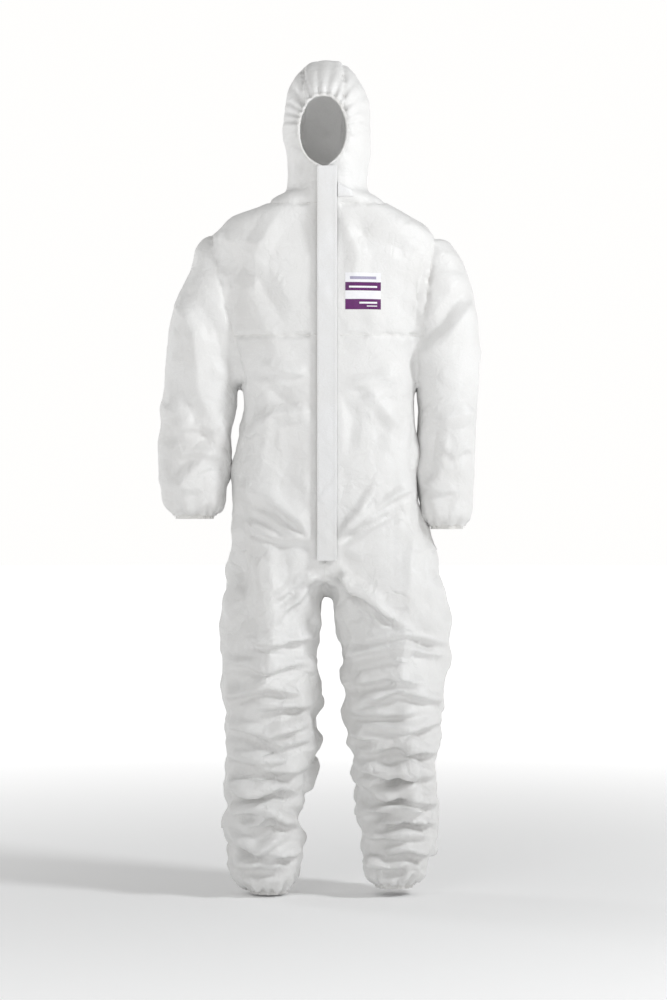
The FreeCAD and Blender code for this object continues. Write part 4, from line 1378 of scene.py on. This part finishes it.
def coil(name, sign):
    lo, hi = (np.array(c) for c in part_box(name))
    middle, size = (lo + hi) / 2, (hi - lo) / 2
    turns = round((hi[2] - lo[2]) / COIL_PITCH)
    a = np.linspace(0, 2 * math.pi * turns, turns * 9)
    z = lo[2] + 0.0006 + (hi[2] - lo[2] - 0.0012) * a / a[-1]
    x = middle[0] + sign * (size[0] - COIL_WIRE) * np.cos(a)
    y = middle[1] + (size[1] - COIL_WIRE) * np.sin(a)
    path = np.stack((x, y, z), 1)
    t = unit(np.gradient(path, axis=0))
    out = unit(path - np.stack((np.full(len(a), middle[0]), np.full(len(a), middle[1]), z), 1))
    side = np.cross(t, out)
    corners = np.linspace(0, 2 * math.pi, 6)[:-1]
    rows = [path + (out * math.cos(k) + side * math.sin(k)) * COIL_WIRE for k in corners]
    verts = np.stack(rows, 1).reshape(-1, 3)
    return verts, grid_faces(len(a), 5, True)


for side, sign in (("right", -1), ("left", 1)):
    ob = Build().add(*coil(f"zip_coil_{side}", sign)).object(f"coil_teeth_{side}", nylon)
    riding(ob, "torso", "zip_plastic", f"zip_coil_{side}")

# ------------------------------------------------------------------ the CAD parts that keep their shape
KEPT = {
    "zip_tape_right": tape_weave, "zip_tape_left": tape_weave,
    "zip_top_stops": nylon, "zip_bottom_stop": nylon,
    "zip_slider": metal, "zip_pull": metal, "flap_adhesive": glue, "flap_liner": release,
}
for name, material in KEPT.items():
    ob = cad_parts[name]
    for k in range(max(1, len(ob.material_slots))):
        if not ob.material_slots:
            ob.data.materials.append(material)
        ob.material_slots[k].material = material

# ------------------------------------------------------------------ floor, light and camera
floor_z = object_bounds()[0][2] - 0.004
FLOOR_SIDES = 96
turn = np.linspace(0, 2 * math.pi, FLOOR_SIDES + 1)[:-1]
radii = (0.02, 0.6, 1.6, 4.0, 9.0, 30.0)
rings = [[(r * math.cos(a), r * math.sin(a), floor_z) for a in turn] for r in radii]
b = Build().add(*lofted(rings, True))
b.faces.append(tuple(reversed(range(FLOOR_SIDES))))
b.kinds.append(0)
# the floor glows, from none within 1.2 m of the middle up to 0.8 from 4.5 m out: painted light that whitens
# the far floor
pale, t, p = shader("pale_floor", 0.9, Emission_Color=(1, 1, 1, 1))
at = node(t, "ShaderNodeTexCoord").outputs["Object"]
far = node(t, "ShaderNodeVectorMath", {0: at}, operation="LENGTH").outputs["Value"]
far_floor_glow = {"Value": far, "From Min": 1.2, "From Max": 4.5, "To Min": 0.0, "To Max": 0.8}
t.links.new(node(t, "ShaderNodeMapRange", far_floor_glow).outputs[0], p.inputs["Emission Strength"])
speck = node(t, "ShaderNodeTexNoise", {"Scale": 40.0, "Detail": 3.0}).outputs["Fac"]
t.links.new(ramp(t, speck, ((0.3, (0.90, 0.90, 0.90)), (0.7, (0.93, 0.93, 0.93)))), p.inputs["Base Color"])
floor = b.object("floor", pale)

world = DATA.worlds.new("studio")
bpy.context.scene.world = world
world.use_nodes = True
t = world.node_tree
way = node(t, "ShaderNodeTexCoord").outputs["Generated"]
rise = node(t, "ShaderNodeSeparateXYZ", {"Vector": way}).outputs["Z"]
level = node(t, "ShaderNodeMath", {0: rise}, operation="ABSOLUTE").outputs[0]
horizon = {"Value": level, "From Min": 0.19, "From Max": 0.36, "To Min": 1.0, "To Max": 0.20}
horizon = node(t, "ShaderNodeMapRange", horizon, interpolation_type="SMOOTHSTEP").outputs[0]
above = {"Value": rise, "From Min": 0.36, "From Max": 0.80, "To Max": 0.17}
above = node(t, "ShaderNodeMapRange", above).outputs[0]
t.links.new(maths(t, "ADD", horizon, above), t.nodes["Background"].inputs["Strength"])
t.nodes["Background"].inputs["Color"].default_value = (1, 0.995, 0.985, 1)


def softbox(name, place, target, size, watts, colour=(1, 1, 1)):
    light = DATA.lights.new(name, "AREA")
    light.shape, light.size, light.size_y = "RECTANGLE", size[0], size[1]
    light.energy, light.color = watts, colour
    ob = DATA.objects.new(name, light)
    bpy.context.collection.objects.link(ob)
    ob.location = place
    ob.rotation_euler = (Vector(target) - Vector(place)).to_track_quat("-Z", "Y").to_euler()
    return ob


softbox("key", (3.3, -1.9, 1.9), (0, 0, -0.6), (0.8, 0.8), 92, (0.97, 0.985, 1))
softbox("fill", (-1.6, -4.4, 0.6), (0, 0, -0.6), (2.0, 2.0), 22, (0.98, 0.99, 1))
softbox("rim", (-2.8, 1.6, 0.8), (0, 0, -0.6), (0.8, 1.6), 14, (0.97, 0.985, 1))

# a lamp in place of the light that comes through thin cloth; its strength was set to match the photo
inside = DATA.lights.new("hood_inside", "POINT")
inside.energy, inside.shadow_soft_size = 0.058, 0.02
lamp = DATA.objects.new("hood_inside", inside)
bpy.context.collection.objects.link(lamp)
lamp.location = (0, 0, 0.22)
lamp.visible_camera = False

camera = DATA.objects.new("camera", DATA.cameras.new("camera"))
bpy.context.collection.objects.link(camera)
camera.data.sensor_fit = "VERTICAL"
camera.data.sensor_height = 36
camera.data.lens = 99.5
camera.location = (0.018, -6.0, -0.640)
camera.rotation_euler = (math.radians(90), 0, 0)
camera.data.clip_end = 100
bpy.context.scene.camera = camera
bpy.context.scene.view_settings.view_transform = "Standard"
